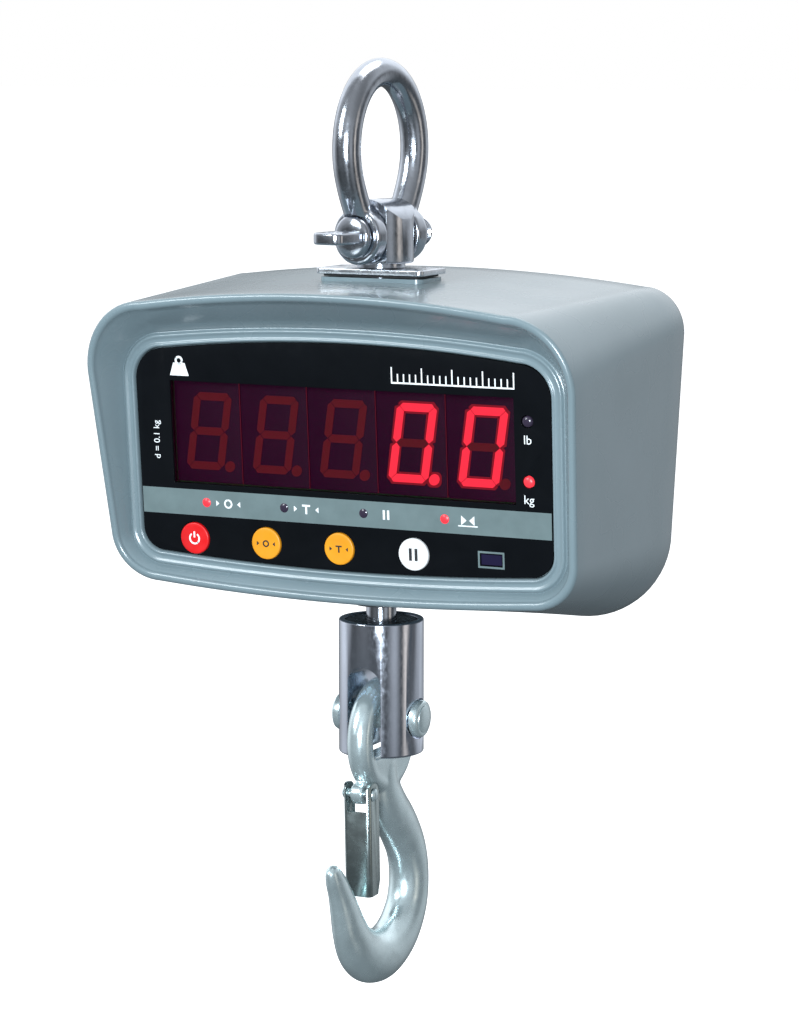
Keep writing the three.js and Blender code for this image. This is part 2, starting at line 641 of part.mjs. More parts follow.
function shackle() {
  const outer = SHACKLE.jaw / 2 + SHACKLE.earThick;
  const archHeight = CROWN + SHACKLE.rod - SHACKLE.archRise;
  const legTop = archHeight - PIN_HEIGHT;
  const splay = (t) => SHACKLE.earSplay + (SHACKLE.bowRadius - SHACKLE.earSplay) * Math.sin((t * Math.PI) / 2);
  const points = [];
  for (let i = 0; i <= 4; i++) {
    const t = i / 5;
    points.push([splay(t), PIN_HEIGHT + 6 + (legTop - 6) * t]);
  }
  for (let i = 0; i <= 10; i++) {
    const a = (Math.PI * i) / 10;
    points.push([SHACKLE.bowRadius * Math.cos(a), archHeight + SHACKLE.archRise * Math.sin(a)]);
  }
  for (let i = 4; i >= 0; i--) points.push([-points[i][0], points[i][1]]);
  const path = new THREE.CatmullRomCurve3(points.map(([y, z]) => new THREE.Vector3(0, y, z)));
  const section = new THREE.Shape(circle(SHACKLE.rod, [0, 0], 12).map(([x, y]) => new THREE.Vector2(x, y)));
  const bow = new THREE.ExtrudeGeometry(section, { steps: 36, extrudePath: path });
  const ear = (side) =>
    plate(circle(SHACKLE.ear, [0, PIN_HEIGHT], 28), ...[side * outer, (side * SHACKLE.jaw) / 2].sort((a, b) => a - b));
  const body = cut(
    join(bow, ear(-1), ear(1)),
    block([-20, -SHACKLE.jaw / 2, PIN_HEIGHT - 20], [20, SHACKLE.jaw / 2, PIN_HEIGHT + LUG.top + 1]),
    rod(SHACKLE.pin + SLIP, [0, -30, PIN_HEIGHT], [0, 30, PIN_HEIGHT]),
    ...[-1, 1].map((side) =>
      rod(PIN_HEAD.collar + 0.8, [0, side * outer, PIN_HEIGHT], [0, side * (outer + 6), PIN_HEIGHT]),
    ),
  );
  const collarBack = -outer - GAP;
  const collarFront = collarBack - PIN_HEAD.collarThick;
  const tabEnd = collarFront - PIN_HEAD.tabLength;
  const level = (low, high, flat) => plate(flat, -high, -low).rotateX(-Math.PI / 2);
  const tabMiddle = (tabEnd + collarFront) / 2;
  const tabOutline = roundedBox(PIN_HEAD.tabWidth / 2, PIN_HEAD.tabLength / 2 + 1, 4);
  const tab = cut(
    level(-PIN_HEAD.tabThick / 2, PIN_HEAD.tabThick / 2, tabOutline).translate(0, tabMiddle, PIN_HEIGHT),
    rod(PIN_HEAD.tabHole, [0, tabMiddle - 2, PIN_HEIGHT - 5], [0, tabMiddle - 2, PIN_HEIGHT + 5], 20),
  );
  const pin = join(
    rod(SHACKLE.pin, [0, collarBack - 1, PIN_HEIGHT], [0, outer + PIN_HEAD.tail, PIN_HEIGHT]),
    rod(PIN_HEAD.collar, [0, collarFront, PIN_HEIGHT], [0, collarBack, PIN_HEIGHT]),
    tab,
  );
  const group = new THREE.Group();
  group.add(piece("shackle_bow", body, chrome), piece("shackle_pin", pin, chrome));
  group.rotation.z = degToRad(SHACKLE.turn);
  return group;
}

// ---- Clevis, hook and latch ----

function clevis() {
  const { radius, top, length, chamfer, slot, slotTop, pinHeight } = CLEVIS;
  const bottom = top - length;
  const profile = [
    [0, bottom],
    [radius - chamfer, bottom],
    [radius, bottom + chamfer],
    [radius, top - chamfer],
    [radius - chamfer, top],
    [0, top],
  ];
  const slotShape = [
    ...circle(slot / 2, [0, slotTop - slot / 2], 24).filter(([, z]) => z >= slotTop - slot / 2 - 0.01),
    [-slot / 2, bottom - 1],
    [slot / 2, bottom - 1],
  ];
  const spot = (side) =>
    rod(CLEVIS_PIN.head + 0.8, [side * CLEVIS_PIN.spotFace, 0, pinHeight], [side * (radius + 1), 0, pinHeight]);
  const body = cut(
    turned(profile, 40),
    rod(CAP.radius + GAP, [0, 0, bearingTop], [0, 0, top + 1]),
    rod(BEARING.radius + 1.5, [0, 0, chamberBottom], [0, 0, top]),
    plate(slotShape, -radius - 1, radius + 1),
    rod(CLEVIS_PIN.radius + SLIP, [-radius - 2, 0, pinHeight], [radius + 2, 0, pinHeight]),
    spot(-1),
    spot(1),
  );
  const collar = turnedRing(
    [[STEM.radius + SLIP, capBottom], [CAP.radius, capBottom], [CAP.radius, capTop], [STEM.radius + SLIP, capTop]],
    32,
  );
  const bearing = turnedRing(
    [
      [STEM.radius + SLIP, bearingTop - BEARING.thick],
      [BEARING.radius, bearingTop - BEARING.thick],
      [BEARING.radius, bearingTop],
      [STEM.radius + SLIP, bearingTop],
    ],
    28,
  );
  const seat = CLEVIS_PIN.spotFace + GAP;
  const end = seat + CLEVIS_PIN.headThick;
  const crown = CLEVIS_PIN.crown;
  const domed = [[0, end], [CLEVIS_PIN.head - 2.4, end - 0.3], [CLEVIS_PIN.head, end - crown], [CLEVIS_PIN.head, seat]];
  const pinProfile = [...domed, [CLEVIS_PIN.radius, seat]];
  const mirrored = pinProfile.map(([r, h]) => [r, -h]).reverse();
  const pin = turned([...pinProfile, ...mirrored], 28).rotateY(Math.PI / 2).translate(0, 0, pinHeight);
  return [
    piece("clevis", body, chrome),
    piece("clevis_cap", collar, darkSteel),
    piece("swivel_bearing", bearing, steel),
    piece("clevis_pin", pin, zinc),
  ];
}

const eyeHeight = CLEVIS.pinHeight + CLEVIS_PIN.radius + GAP - EYE.inside; // the eye hangs on the pin

/** The hook's body as a run of oval sections: [y, z, half depth in the hook's plane, half thickness]. */
const HOOK_RUN = [
  [0, -122, 9, 5.2],
  [0.5, -130, 9.5, 5.6],
  [6, -139, 9.8, 6.3],
  [14.2, -148, 9.8, 6.8],
  [21, -158, 9.4, 7.1],
  [23.6, -169, 9.2, 7.3],
  [21.4, -180.5, 9.6, 7.5],
  [13, -189.8, 10.2, 7.7],
  [0.6, -194.2, 10.6, 7.7],
  [-12, -192.6, 10.3, 7.4],
  [-21.3, -187, 9.6, 6.6],
  [-27, -179, 8.6, 5.6],
  [-30.8, -171, 7.4, 4.7],
  [-34.8, -163, 5.8, 3.8],
  [-38.6, -157, 4.6, 3.2],
  [-41, -153.4, 3, 2.2],
];

function hook() {
  const centre = new THREE.CatmullRomCurve3(HOOK_RUN.map(([y, z]) => new THREE.Vector3(0, y, z)));
  const steps = 30;
  const sides = 14;
  const rings = [];
  for (let i = 0; i <= steps; i++) {
    const t = i / steps;
    const at = t * (HOOK_RUN.length - 1);
    const k = Math.min(Math.floor(at), HOOK_RUN.length - 2);
    const blend = at - k;
    const [deep, thick] = [2, 3].map((c) => HOOK_RUN[k][c] * (1 - blend) + HOOK_RUN[k + 1][c] * blend);
    const middle = centre.getPoint(t);
    const way = centre.getTangent(t);
    const across = new THREE.Vector3(0, way.z, -way.y);
    rings.push(
      Array.from({ length: sides }, (_, s) => {
        const a = (2 * Math.PI * s) / sides;
        const p = middle.clone().addScaledVector(across, deep * Math.cos(a));
        return [thick * Math.sin(a), p.y, p.z];
      }),
    );
  }
  const eyeSection = circle(EYE.half, [EYE.inside + EYE.half, 0], 14);
  const eye = turnedRing(eyeSection, 36).rotateY(Math.PI / 2).translate(0, 0, eyeHeight);
  const eyeFloor = eyeHeight - EYE.inside;
  const web = block([-WEB.half, -WEB.across, eyeFloor - WEB.sunk], [WEB.half, WEB.across, eyeFloor + WEB.rise]);
  const [py, pz] = LATCH.pivot;
  const boss = join(
    rod(BOSS.radius, [-BOSS.half, py, pz], [BOSS.half, py, pz], 20),
    block([-BOSS.half, py, pz - BOSS.radius], [BOSS.half, 2, pz + BOSS.radius]),
  );
  const opened = cut(join(skin(rings), boss, eye), rod(EYE.inside, [-8, 0, eyeHeight], [8, 0, eyeHeight], 36));
  const body = cut(
    join(opened, web),
    rod(RIVET.radius + SLIP, [-8, py, pz], [8, py, pz], 14),
  );
  return piece("hook", body, zinc);
}

function latch() {
  const { halfWidth, sheet, front, back, length, ear, lean } = LATCH;
  const inside = halfWidth - sheet;
  const bottom = -length;
  const sideShape = [
    [-front, bottom],
    [-front, 0],
    ...circle(ear, [0, 0], 24).filter(([, z]) => z > 0.01).reverse(),
    [back, -1],
    [back, bottom + 3],
    [back - 3, bottom],
  ];
  const outside = plate(sideShape, -halfWidth, halfWidth).rotateZ(Math.PI / 2);
  const hollow = block([-inside, -front + sheet, bottom - 1], [inside, back + 1, ear + 1]);
  const notch = block([-halfWidth + NOTCH.ear, -front - 1, -NOTCH.down], [halfWidth - NOTCH.ear, back + 1, ear + 1]);
  const hole = rod(RIVET.radius + SLIP, [-10, 0, 0], [10, 0, 0], 14);
  const channel = piece("latch", cut(outside, hollow, notch, hole), zinc);
  const headIn = halfWidth + GAP;
  const rivetProfile = [
    [0, headIn + RIVET.headThick],
    [RIVET.head * 0.7, headIn + RIVET.headThick * 0.8],
    [RIVET.head, headIn],
    [RIVET.radius, headIn],
  ];
  const mirrored = rivetProfile.map(([r, h]) => [r, -h]).reverse();
  const rivet = piece("latch_rivet", turned([...rivetProfile, ...mirrored], 18).rotateY(Math.PI / 2), zinc);
  const group = new THREE.Group();
  group.add(channel, rivet, ...latchSpring());
  group.position.set(0, LATCH.pivot[0], LATCH.pivot[1]);
  channel.rotation.x = degToRad(lean);
  return group;
}

/** A coil round the rivet between the boss and one ear, with a leg along the latch. */
function latchSpring() {
  const from = BOSS.half + GAP + SPRING.wire;
  const to = LATCH.halfWidth - LATCH.sheet - GAP - SPRING.wire;
  const turnSteps = 14;
  const points = [];
  for (let i = 0; i <= turnSteps * SPRING.turns; i++) {
    const a = (2 * Math.PI * i) / turnSteps;
    const x = from + ((to - from) * i) / (turnSteps * SPRING.turns);
    points.push(new THREE.Vector3(x, -SPRING.radius * Math.cos(a), -SPRING.radius * Math.sin(a)));
  }
  points.push(new THREE.Vector3(to, -SPRING.radius + SPRING.legIn, -SPRING.leg));
  const path = new THREE.CatmullRomCurve3(points);
  const section = new THREE.Shape(circle(SPRING.wire, [0, 0], 6).map(([x, y]) => new THREE.Vector2(x, y)));
  const coil = new THREE.ExtrudeGeometry(section, { steps: turnSteps * SPRING.turns + 6, extrudePath: path });
  return [piece("latch_spring", coil, steel)];
}

// ---- Assembly ----

frontPanel();
display();
lamps();
keys();
boards();

const group = new THREE.Group();
group.add(
  shackle(),
  liftingLug(),
  ...topFittings(),
  housing(),
  face,
  ...rearCover(),
  ...battery(),
  ...loadCell(),
  ...stem(),
  ...clevis(),
  hook(),
  latch(),
);
group.position.z = -CROWN;

export default group;
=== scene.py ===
"""Looks of a hanging crane scale: smooth shells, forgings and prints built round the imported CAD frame."""
import json
import math

import bmesh
import bpy
from mathutils import Matrix, Vector

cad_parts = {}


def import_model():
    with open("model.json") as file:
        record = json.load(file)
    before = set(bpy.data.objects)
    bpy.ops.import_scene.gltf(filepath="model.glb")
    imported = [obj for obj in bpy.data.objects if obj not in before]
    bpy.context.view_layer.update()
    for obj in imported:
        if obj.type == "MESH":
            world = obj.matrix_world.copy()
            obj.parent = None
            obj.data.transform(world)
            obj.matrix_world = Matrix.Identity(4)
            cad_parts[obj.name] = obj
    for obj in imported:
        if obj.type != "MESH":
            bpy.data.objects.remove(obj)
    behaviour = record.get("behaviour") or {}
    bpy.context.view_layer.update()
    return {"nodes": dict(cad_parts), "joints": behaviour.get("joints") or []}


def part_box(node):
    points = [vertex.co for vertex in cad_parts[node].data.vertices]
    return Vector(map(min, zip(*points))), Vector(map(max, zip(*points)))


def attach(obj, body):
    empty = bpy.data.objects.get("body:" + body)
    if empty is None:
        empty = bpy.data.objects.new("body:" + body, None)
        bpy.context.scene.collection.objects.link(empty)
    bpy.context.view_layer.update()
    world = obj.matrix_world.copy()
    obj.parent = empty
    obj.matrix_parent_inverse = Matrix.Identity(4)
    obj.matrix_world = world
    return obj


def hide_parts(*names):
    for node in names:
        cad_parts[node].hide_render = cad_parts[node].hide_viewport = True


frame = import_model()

MM = 0.001

# ---- Places. Heights are millimetres above the middle of the front panel, as in the CAD. ----

JOINTS = {joint["name"]: joint for joint in frame["joints"]}
PIN_HEIGHT = 78.4
CROWN = PIN_HEIGHT - JOINTS["shackle_swing"]["pos_m"][2] / MM  # the frame's origin, at the shackle's crown
CLEVIS_PIN_HEIGHT = JOINTS["hook_tilt"]["pos_m"][2] / MM + CROWN
LATCH_PIVOT = (JOINTS["latch_hinge"]["pos_m"][1] / MM, JOINTS["latch_hinge"]["pos_m"][2] / MM + CROWN)
TURN = math.radians(-10)  # of the shackle and the lug from square
GAP = 0.3
ON_AXIS = 0.001  # radius of a turned profile where it meets its axis
WELD = 0.001 * MM

RIM = dict(
    width=100.2, taper=6, top=60, bottom=-54.8,
    crown_top=9.5, crown_bottom=5.5, round_top=27, round_bottom=18,
)
REAR = dict(
    width=101.2, taper=7.2, top=63.9, bottom=-68,
    crown_top=7.4, crown_bottom=1, round_top=17, round_bottom=34,
)
PANEL = dict(
    width=84.4, taper=0.6, top=41, bottom=-43,
    crown_top=6, crown_bottom=3.6, round_top=12, round_bottom=8.5,
)
RIM_DEPTH, RIM_TILT, NOSE = -43.4, math.radians(9.6), 1.6
FACE_DEPTH, FACE_TILT = -34, math.radians(4.2)
PANEL_THICK = 1.8
BACK, BACK_ROUND, COVER_INSET, COVER_THICK, PAD_TOP, WALL = 61, 11, 17, 3, 63, 3

DIGIT_PITCH, DIGIT_COUNT, WINDOW_TOP, WINDOW_BOTTOM = 28, 5, 24.7, -14
KEY_FIRST, KEY_PITCH, KEY_ROW, KEY_RADIUS, KEY_PROUD = -62, 30.3, -34.8, 6, 0.6
LAMP_FIRST, LAMP_PITCH, LAMP_ROW, LAMP_RADIUS = -56.4, 32.7, -20.9, 2.1
LAMPS = {
    "zero": (LAMP_FIRST, LAMP_ROW),
    "tare": (LAMP_FIRST + LAMP_PITCH, LAMP_ROW),
    "hold": (LAMP_FIRST + 2 * LAMP_PITCH, LAMP_ROW),
    "stable": (LAMP_FIRST + 3 * LAMP_PITCH, LAMP_ROW),
    "lb": (75.1, 16.3),
    "kg": (75.1, -5.4),
}
LAMPS_ON = ("zero", "stable", "kg")
KEYS = ("on_off", "zero", "tare", "hold")
EYE_AT, EYE_SIZE = (59.7, -34.8), (8.6, 4.4)


# ---- Materials ----


class Nodes:
    """A short way to write a Principled material out of procedural nodes."""

    def __init__(self, name, **inputs):
        self.material = bpy.data.materials.new(name)
        self.material.use_nodes = True
        self.tree = self.material.node_tree
        self.shader = self.tree.nodes["Principled BSDF"]
        for key, value in inputs.items():
            self.shader.inputs[key.replace("_", " ")].default_value = value
        self.place = self.tree.nodes.new("ShaderNodeTexCoord").outputs["Object"]

    def add(self, kind, **settings):
        node = self.tree.nodes.new(kind)
        for key, value in settings.items():
            setattr(node, key, value)
        return node

    def link(self, output, target):
        self.tree.links.new(output, target)

    def noise(self, scale, detail=4.0, rough=0.55, stretch=(1, 1, 1), distortion=0.0):
        mapping = self.add("ShaderNodeMapping")
        mapping.inputs["Scale"].default_value = stretch
        self.link(self.place, mapping.inputs["Vector"])
        noise = self.add("ShaderNodeTexNoise")
        noise.inputs["Scale"].default_value = scale
        noise.inputs["Detail"].default_value = detail
        noise.inputs["Roughness"].default_value = rough
        noise.inputs["Distortion"].default_value = distortion
        self.link(mapping.outputs["Vector"], noise.inputs["Vector"])
        return noise.outputs["Fac"]

    def colours(self, factor, stops):
        ramp = self.add("ShaderNodeValToRGB")
        elements = ramp.color_ramp.elements
        while len(elements) < len(stops):
            elements.new(0.5)
        for element, (position, colour) in zip(elements, stops):
            element.position = position
            element.color = (*colour, 1)
        self.link(factor, ramp.inputs["Fac"])
        self.link(ramp.outputs["Color"], self.shader.inputs["Base Color"])
        return ramp.outputs["Color"]

    def roughness(self, factor, low, high):
        span = self.add("ShaderNodeMapRange")
        span.inputs["From Min"].default_value = 0.3
        span.inputs["From Max"].default_value = 0.7
        span.inputs["To Min"].default_value = low
        span.inputs["To Max"].default_value = high
        self.link(factor, span.inputs["Value"])
        self.link(span.outputs["Result"], self.shader.inputs["Roughness"])

    def bump(self, *layers):
        """Bump of (height output, strength, distance in mm) layers, one over the other."""
        last = None
        for height, strength, distance in layers:
            bump = self.add("ShaderNodeBump")
            bump.inputs["Strength"].default_value = strength
            bump.inputs["Distance"].default_value = distance * MM
            self.link(height, bump.inputs["Height"])
            if last is not None:
                self.link(last, bump.inputs["Normal"])
            last = bump.outputs["Normal"]
        self.link(last, self.shader.inputs["Normal"])


def shade(colour, amount):
    return tuple(min(c * amount, 1) for c in colour)


def paint():
    grey = (0.168, 0.222, 0.243)
    m = Nodes("housing_paint", Roughness=0.3, Coat_Weight=0.35, Coat_Roughness=0.12)
    m.colours(m.noise(14, 5), [(0.3, shade(grey, 0.93)), (0.5, grey), (0.72, shade(grey, 1.06))])
    m.roughness(m.noise(40, 2), 0.24, 0.3)
    m.bump((m.noise(900, 2), 0.06, 0.05), (m.noise(45, 1), 0.03, 0.3))
    return m.material


def polished(name, colour=(0.47, 0.5, 0.55), low=0.1, high=0.24, dents=0.25):
    """Polished steel: soft dents from forging, fine scratches and uneven sheen."""
    m = Nodes(name, Metallic=1.0)
    m.colours(m.noise(70, 5), [(0.3, shade(colour, 0.8)), (0.5, colour), (0.75, shade(colour, 1.14))])
    m.roughness(m.noise(320, 6, distortion=0.4), low, high)
    scratches = m.noise(260, 3, stretch=(1, 1, 0.06))
    m.bump((m.noise(130, 3), dents, 0.5), (scratches, 0.12, 0.04), (m.noise(1500, 2), 0.1, 0.03))
    return m.material


def turned_chrome():
    """Chrome over a turned surface: rings round the axis, seen as a fine vertical glitter."""
    colour = (0.64, 0.69, 0.79)
    m = Nodes("clevis_chrome", Metallic=1.0)
    m.colours(m.noise(50, 4, stretch=(1, 1, 0.4)), [(0.3, shade(colour, 0.82)), (0.7, shade(colour, 1.12))])
    m.roughness(m.noise(700, 4, stretch=(1, 1, 0.5)), 0.06, 0.2)
    rings = m.noise(180, 2, stretch=(0.12, 0.12, 14))
    m.bump((m.noise(420, 3), 0.2, 0.08), (rings, 0.16, 0.03))
    return m.material


def zinc(name="bright_zinc", colour=(0.66, 0.78, 0.8), metallic=0.78):
    """Bright zinc over a forging: bluish, mottled and slightly pitted."""
    m = Nodes(name, Metallic=metallic)
    m.colours(
        m.noise(90, 6, distortion=0.6),
        [
            (0.28, shade(colour, 0.86)),
            (0.45, shade(colour, 0.96)),
            (0.6, colour),
            (0.8, shade(colour, 1.12)),
        ],
    )
    m.roughness(m.noise(240, 6), 0.18, 0.32)
    m.bump((m.noise(120, 2), 0.24, 0.5), (m.noise(700, 4), 0.2, 0.06))
    return m.material


def machined(name, colour, low, high, metallic=1.0):
    m = Nodes(name, Metallic=metallic)
    m.colours(m.noise(120, 5), [(0.3, shade(colour, 0.8)), (0.7, shade(colour, 1.15))])
    m.roughness(m.noise(400, 4), low, high)
    m.bump((m.noise(500, 3, stretch=(1, 1, 0.2)), 0.15, 0.05))
    return m.material


def moulded(name, colour, low=0.35, high=0.55, grain=0.12, **inputs):
    m = Nodes(name, **inputs)
    m.colours(m.noise(90, 4), [(0.3, shade(colour, 0.88)), (0.7, shade(colour, 1.08))])
    m.roughness(m.noise(260, 4), low, high)
    m.bump((m.noise(1600, 2), grain, 0.04))
    return m.material


def glow(name, colour, strength, rim):
    """A glowing plastic: bright in patches, a little darker between. On the lit segments and lamps the glow
    is their own light; on the halo, the unlit segments and the module edges it is painted glow.
    """
    m = Nodes(name, Roughness=0.35, Emission_Strength=strength)
    m.colours(m.noise(300, 2), [(0.3, shade(rim, 0.8)), (0.7, rim)])
    m.shader.inputs["Emission Color"].default_value = (*colour, 1)
    return m.material


def window_filter():
    m = Nodes("red_filter", Alpha=0.12, IOR=1.45, Specular_IOR_Level=0.15)
    m.colours(m.noise(40, 3), [(0.3, (0.02, 0, 0.006)), (0.7, (0.035, 0, 0.01))])
    m.roughness(m.noise(30, 3), 0.04, 0.1)
    return m.material


LOOKS = {
    "paint": paint(),
    "stainless": polished("polished_stainless"),
    "plate": polished("plate_stainless", (0.6, 0.63, 0.67), low=0.16, high=0.34, dents=0.1),
    "chrome": turned_chrome(),
    "zinc": zinc(),
    "latch_zinc": zinc("latch_zinc", (0.42, 0.5, 0.5), 1.0),
    "dark_steel": machined("blackened_steel", (0.09, 0.11, 0.14), 0.18, 0.34),
    "steel": machined("plain_steel", (0.5, 0.51, 0.52), 0.28, 0.45),
    "aluminium": machined("cell_aluminium", (0.6, 0.61, 0.62), 0.3, 0.45),
    "panel": moulded("panel_black", (0.004, 0.0048, 0.006), 0.1, 0.2, 0.02, **{"Specular_IOR_Level": 0.1}),
    "filter": window_filter(),
    "digit": moulded("digit_face", (0.012, 0.0004, 0.009), 0.5, 0.7, 0.1, **{"Specular_IOR_Level": 0.1}),
    "lit": glow("segment_lit", (1.0, 0.03, 0.055), 1.1, (0.3, 0.0, 0.01)),
    # Painted glow: the halo round the lit segments, the unlit segments and the module edges glow though no
    # lamp lights them
    "halo": glow("segment_halo", (1.0, 0.0, 0.02), 0.2, (0.06, 0.0, 0.004)),
    "dim": glow("segment_dim", (0.2, 0.0, 0.002), 0.24, (0.05, 0.0, 0.002)),
    "divider": glow("module_edge", (0.2, 0.0, 0.01), 0.25, (0.06, 0.0, 0.006)),
    "lamp_on": glow("lamp_lit", (1.0, 0.05, 0.075), 0.85, (0.4, 0.01, 0.015)),
    "lamp_off": moulded("lamp_dark", (0.03, 0.022, 0.04), 0.12, 0.2, 0.02),
    "key_red": moulded("key_red", (0.6, 0.005, 0.007), 0.35, 0.5),
    "key_amber": moulded("key_amber", (0.7, 0.27, 0.008), 0.35, 0.5),
    "key_white": moulded("key_white", (0.78, 0.78, 0.77), 0.35, 0.5),
    "band": moulded("band_grey", (0.124, 0.168, 0.171), 0.3, 0.45, 0.05),
    "print": moulded("print_white", (0.78, 0.8, 0.8), 0.4, 0.55, 0.05),
    "print_dark": moulded("print_dark", (0.02, 0.02, 0.022), 0.4, 0.55, 0.05),
    "board": moulded("solder_mask", (0.008, 0.09, 0.03), 0.25, 0.4),
    "plastic": moulded("dark_plastic", (0.02, 0.021, 0.024), 0.4, 0.6),
    "rubber": moulded("seal_rubber", (0.012, 0.012, 0.013), 0.6, 0.8, 0.3),
    "eye": moulded("eye_window", (0.01, 0.008, 0.03), 0.1, 0.2, 0.02),
}


# ---- Mesh tools. Points are in millimetres, with heights above the panel's middle. ----


def to_frame(point):
    x, y, z = point
    return Vector((x * MM, y * MM, (z - CROWN) * MM))


def mesh_object(name, points, faces, look, sharp=35):
    mesh = bpy.data.meshes.new(name)
    mesh.from_pydata([to_frame(p) for p in points], [], faces)
    mesh.validate()
    bm = bmesh.new()
    bm.from_mesh(mesh)
    bmesh.ops.remove_doubles(bm, verts=bm.verts, dist=0.002 * MM)
    bmesh.ops.recalc_face_normals(bm, faces=bm.faces)
    bm.to_mesh(mesh)
    bm.free()
    obj = bpy.data.objects.new(name, mesh)
    bpy.context.scene.collection.objects.link(obj)
    if look:
        mesh.materials.append(LOOKS[look])
    smooth(obj, sharp)
    return obj


def smooth(obj, sharp=35):
    obj.data.shade_smooth()
    if sharp < 180:
        obj.data.set_sharp_from_angle(angle=math.radians(sharp))


def apply_modifiers(obj):
    graph = bpy.context.evaluated_depsgraph_get()
    graph.update()
    mesh = bpy.data.meshes.new_from_object(obj.evaluated_get(graph))
    old = obj.data
    obj.modifiers.clear()
    obj.data = mesh
    bpy.data.meshes.remove(old)


def boolean(obj, other, operation="DIFFERENCE"):
    modifier = obj.modifiers.new(operation, "BOOLEAN")
    modifier.operation = operation
    modifier.solver = "EXACT"
    modifier.object = other
    apply_modifiers(obj)
    bpy.data.objects.remove(other)
    return obj


def bevel(obj, width, segments=3, angle=30, sharp=35):
    modifier = obj.modifiers.new("bevel", "BEVEL")
    modifier.width = width * MM
    modifier.segments = segments
    modifier.limit_method = "ANGLE"
    modifier.angle_limit = math.radians(angle)
    apply_modifiers(obj)
    smooth(obj, sharp)
    return obj


def forge(obj, voxel, passes):
    """Melts joined shapes into one forging: remeshed, then smoothed so that the corners blend."""
    remesh = obj.modifiers.new("remesh", "REMESH")
    remesh.mode = "VOXEL"
    remesh.voxel_size = voxel * MM
    soften = obj.modifiers.new("soften", "SMOOTH")
    soften.factor = 0.5
    soften.iterations = passes
    apply_modifiers(obj)
    smooth(obj, 180)
    return obj


def loft(name, rings, look, sharp=35, loop=False):
    """A skin over rings with equal numbers of points, capped at both ends unless it loops."""
    count = len(rings[0])
    points = [p for ring in rings for p in ring]
    faces = []
    for r in range(len(rings) if loop else len(rings) - 1):
        low, high = r * count, ((r + 1) % len(rings)) * count
        for i in range(count):
            j = (i + 1) % count
            faces.append((low + i, low + j, high + j, high + i))
    if not loop:
        faces.append(tuple(range(count)))
        faces.append(tuple(range(len(points) - count, len(points))))
    return mesh_object(name, points, faces, look, sharp)


def turned(name, profile, look, sides=96, sharp=35, loop=False, place=None):
    """A shape turned about +Z from [radius, height] pairs, then placed by a function of its points."""
    rings = []
    for radius, height in profile:
        ring = []
        for i in range(sides):
            a = 2 * math.pi * i / sides
            ring.append((radius * math.cos(a), radius * math.sin(a), height))
        rings.append([place(p) for p in ring] if place else ring)
    return loft(name, rings, look, sharp, loop)


def rod_profile(radius, start, end):
    return [(ON_AXIS, start), (radius, start), (radius, end), (ON_AXIS, end)]


def rounded(profile, radius, steps=4):
    """A profile with its inner corners rounded by arcs, as curves through cut-back points."""
    result = [profile[0]]
    for before, corner, after in zip(profile, profile[1:], profile[2:]):
        a, b, c = Vector(before), Vector(corner), Vector(after)
        reach = min(radius, (a - b).length * 0.45, (c - b).length * 0.45)
        start = b + (a - b).normalized() * reach if reach > 0 else b
        end = b + (c - b).normalized() * reach if reach > 0 else b
        for i in range(steps + 1):
            t = i / steps
            result.append(tuple(start * (1 - t) ** 2 + b * 2 * t * (1 - t) + end * t * t))
    result.append(profile[-1])
    return result


def prism(name, outline_points, low, high, look, place):
    """A flat outline of (a, b) pairs between two depths; place turns (a, depth, b) into a point."""
    rings = [[place((a, depth, b)) for a, b in outline_points] for depth in (low, high)]
    return loft(name, rings, look, 30)


def box_object(name, low, high, look, place=lambda p: p):
    (x0, y0, z0), (x1, y1, z1) = low, high
    return prism(name, [(x0, z0), (x1, z0), (x1, z1), (x0, z1)], y0, y1, look, place)


def same(point):
    return point


def on_face(point):
    """(across, depth behind the panel's face, up the panel) as a point of the frame."""
    u, w, v = point
    return (
        u,
        FACE_DEPTH + w * math.cos(FACE_TILT) - v * math.sin(FACE_TILT),
        v * math.cos(FACE_TILT) + w * math.sin(FACE_TILT),
    )


def with_shackle(point):
    """A point of the shackle's own frame, whose pin runs along Y, turned to its place."""
    x, y, z = point
    return (x * math.cos(TURN) - y * math.sin(TURN), x * math.sin(TURN) + y * math.cos(TURN), z)


def at_shackle_pin(point):
    """A turned piece on the shackle pin's axis."""
    x, y, depth = point
    return with_shackle((x, depth, PIN_HEIGHT + y))


def arc(radius, centre=(0, 0), start=0, end=360, steps=48):
    """Points of an arc; a full turn leaves out its last point."""
    full = abs(end - start) == 360
    count = steps if full else steps + 1
    angles = [math.radians(start + (end - start) * i / steps) for i in range(count)]
    return [(centre[0] + radius * math.cos(a), centre[1] + radius * math.sin(a)) for a in angles]


def rounded_box(half_width, half_height, radius, steps=8):
    points = []
    for quarter, (sx, sy) in enumerate(((1, 1), (-1, 1), (-1, -1), (1, -1))):
        centre = (sx * (half_width - radius), sy * (half_height - radius))
        points += arc(radius, centre, 90 * quarter, 90 * quarter + 90, steps)
    return points


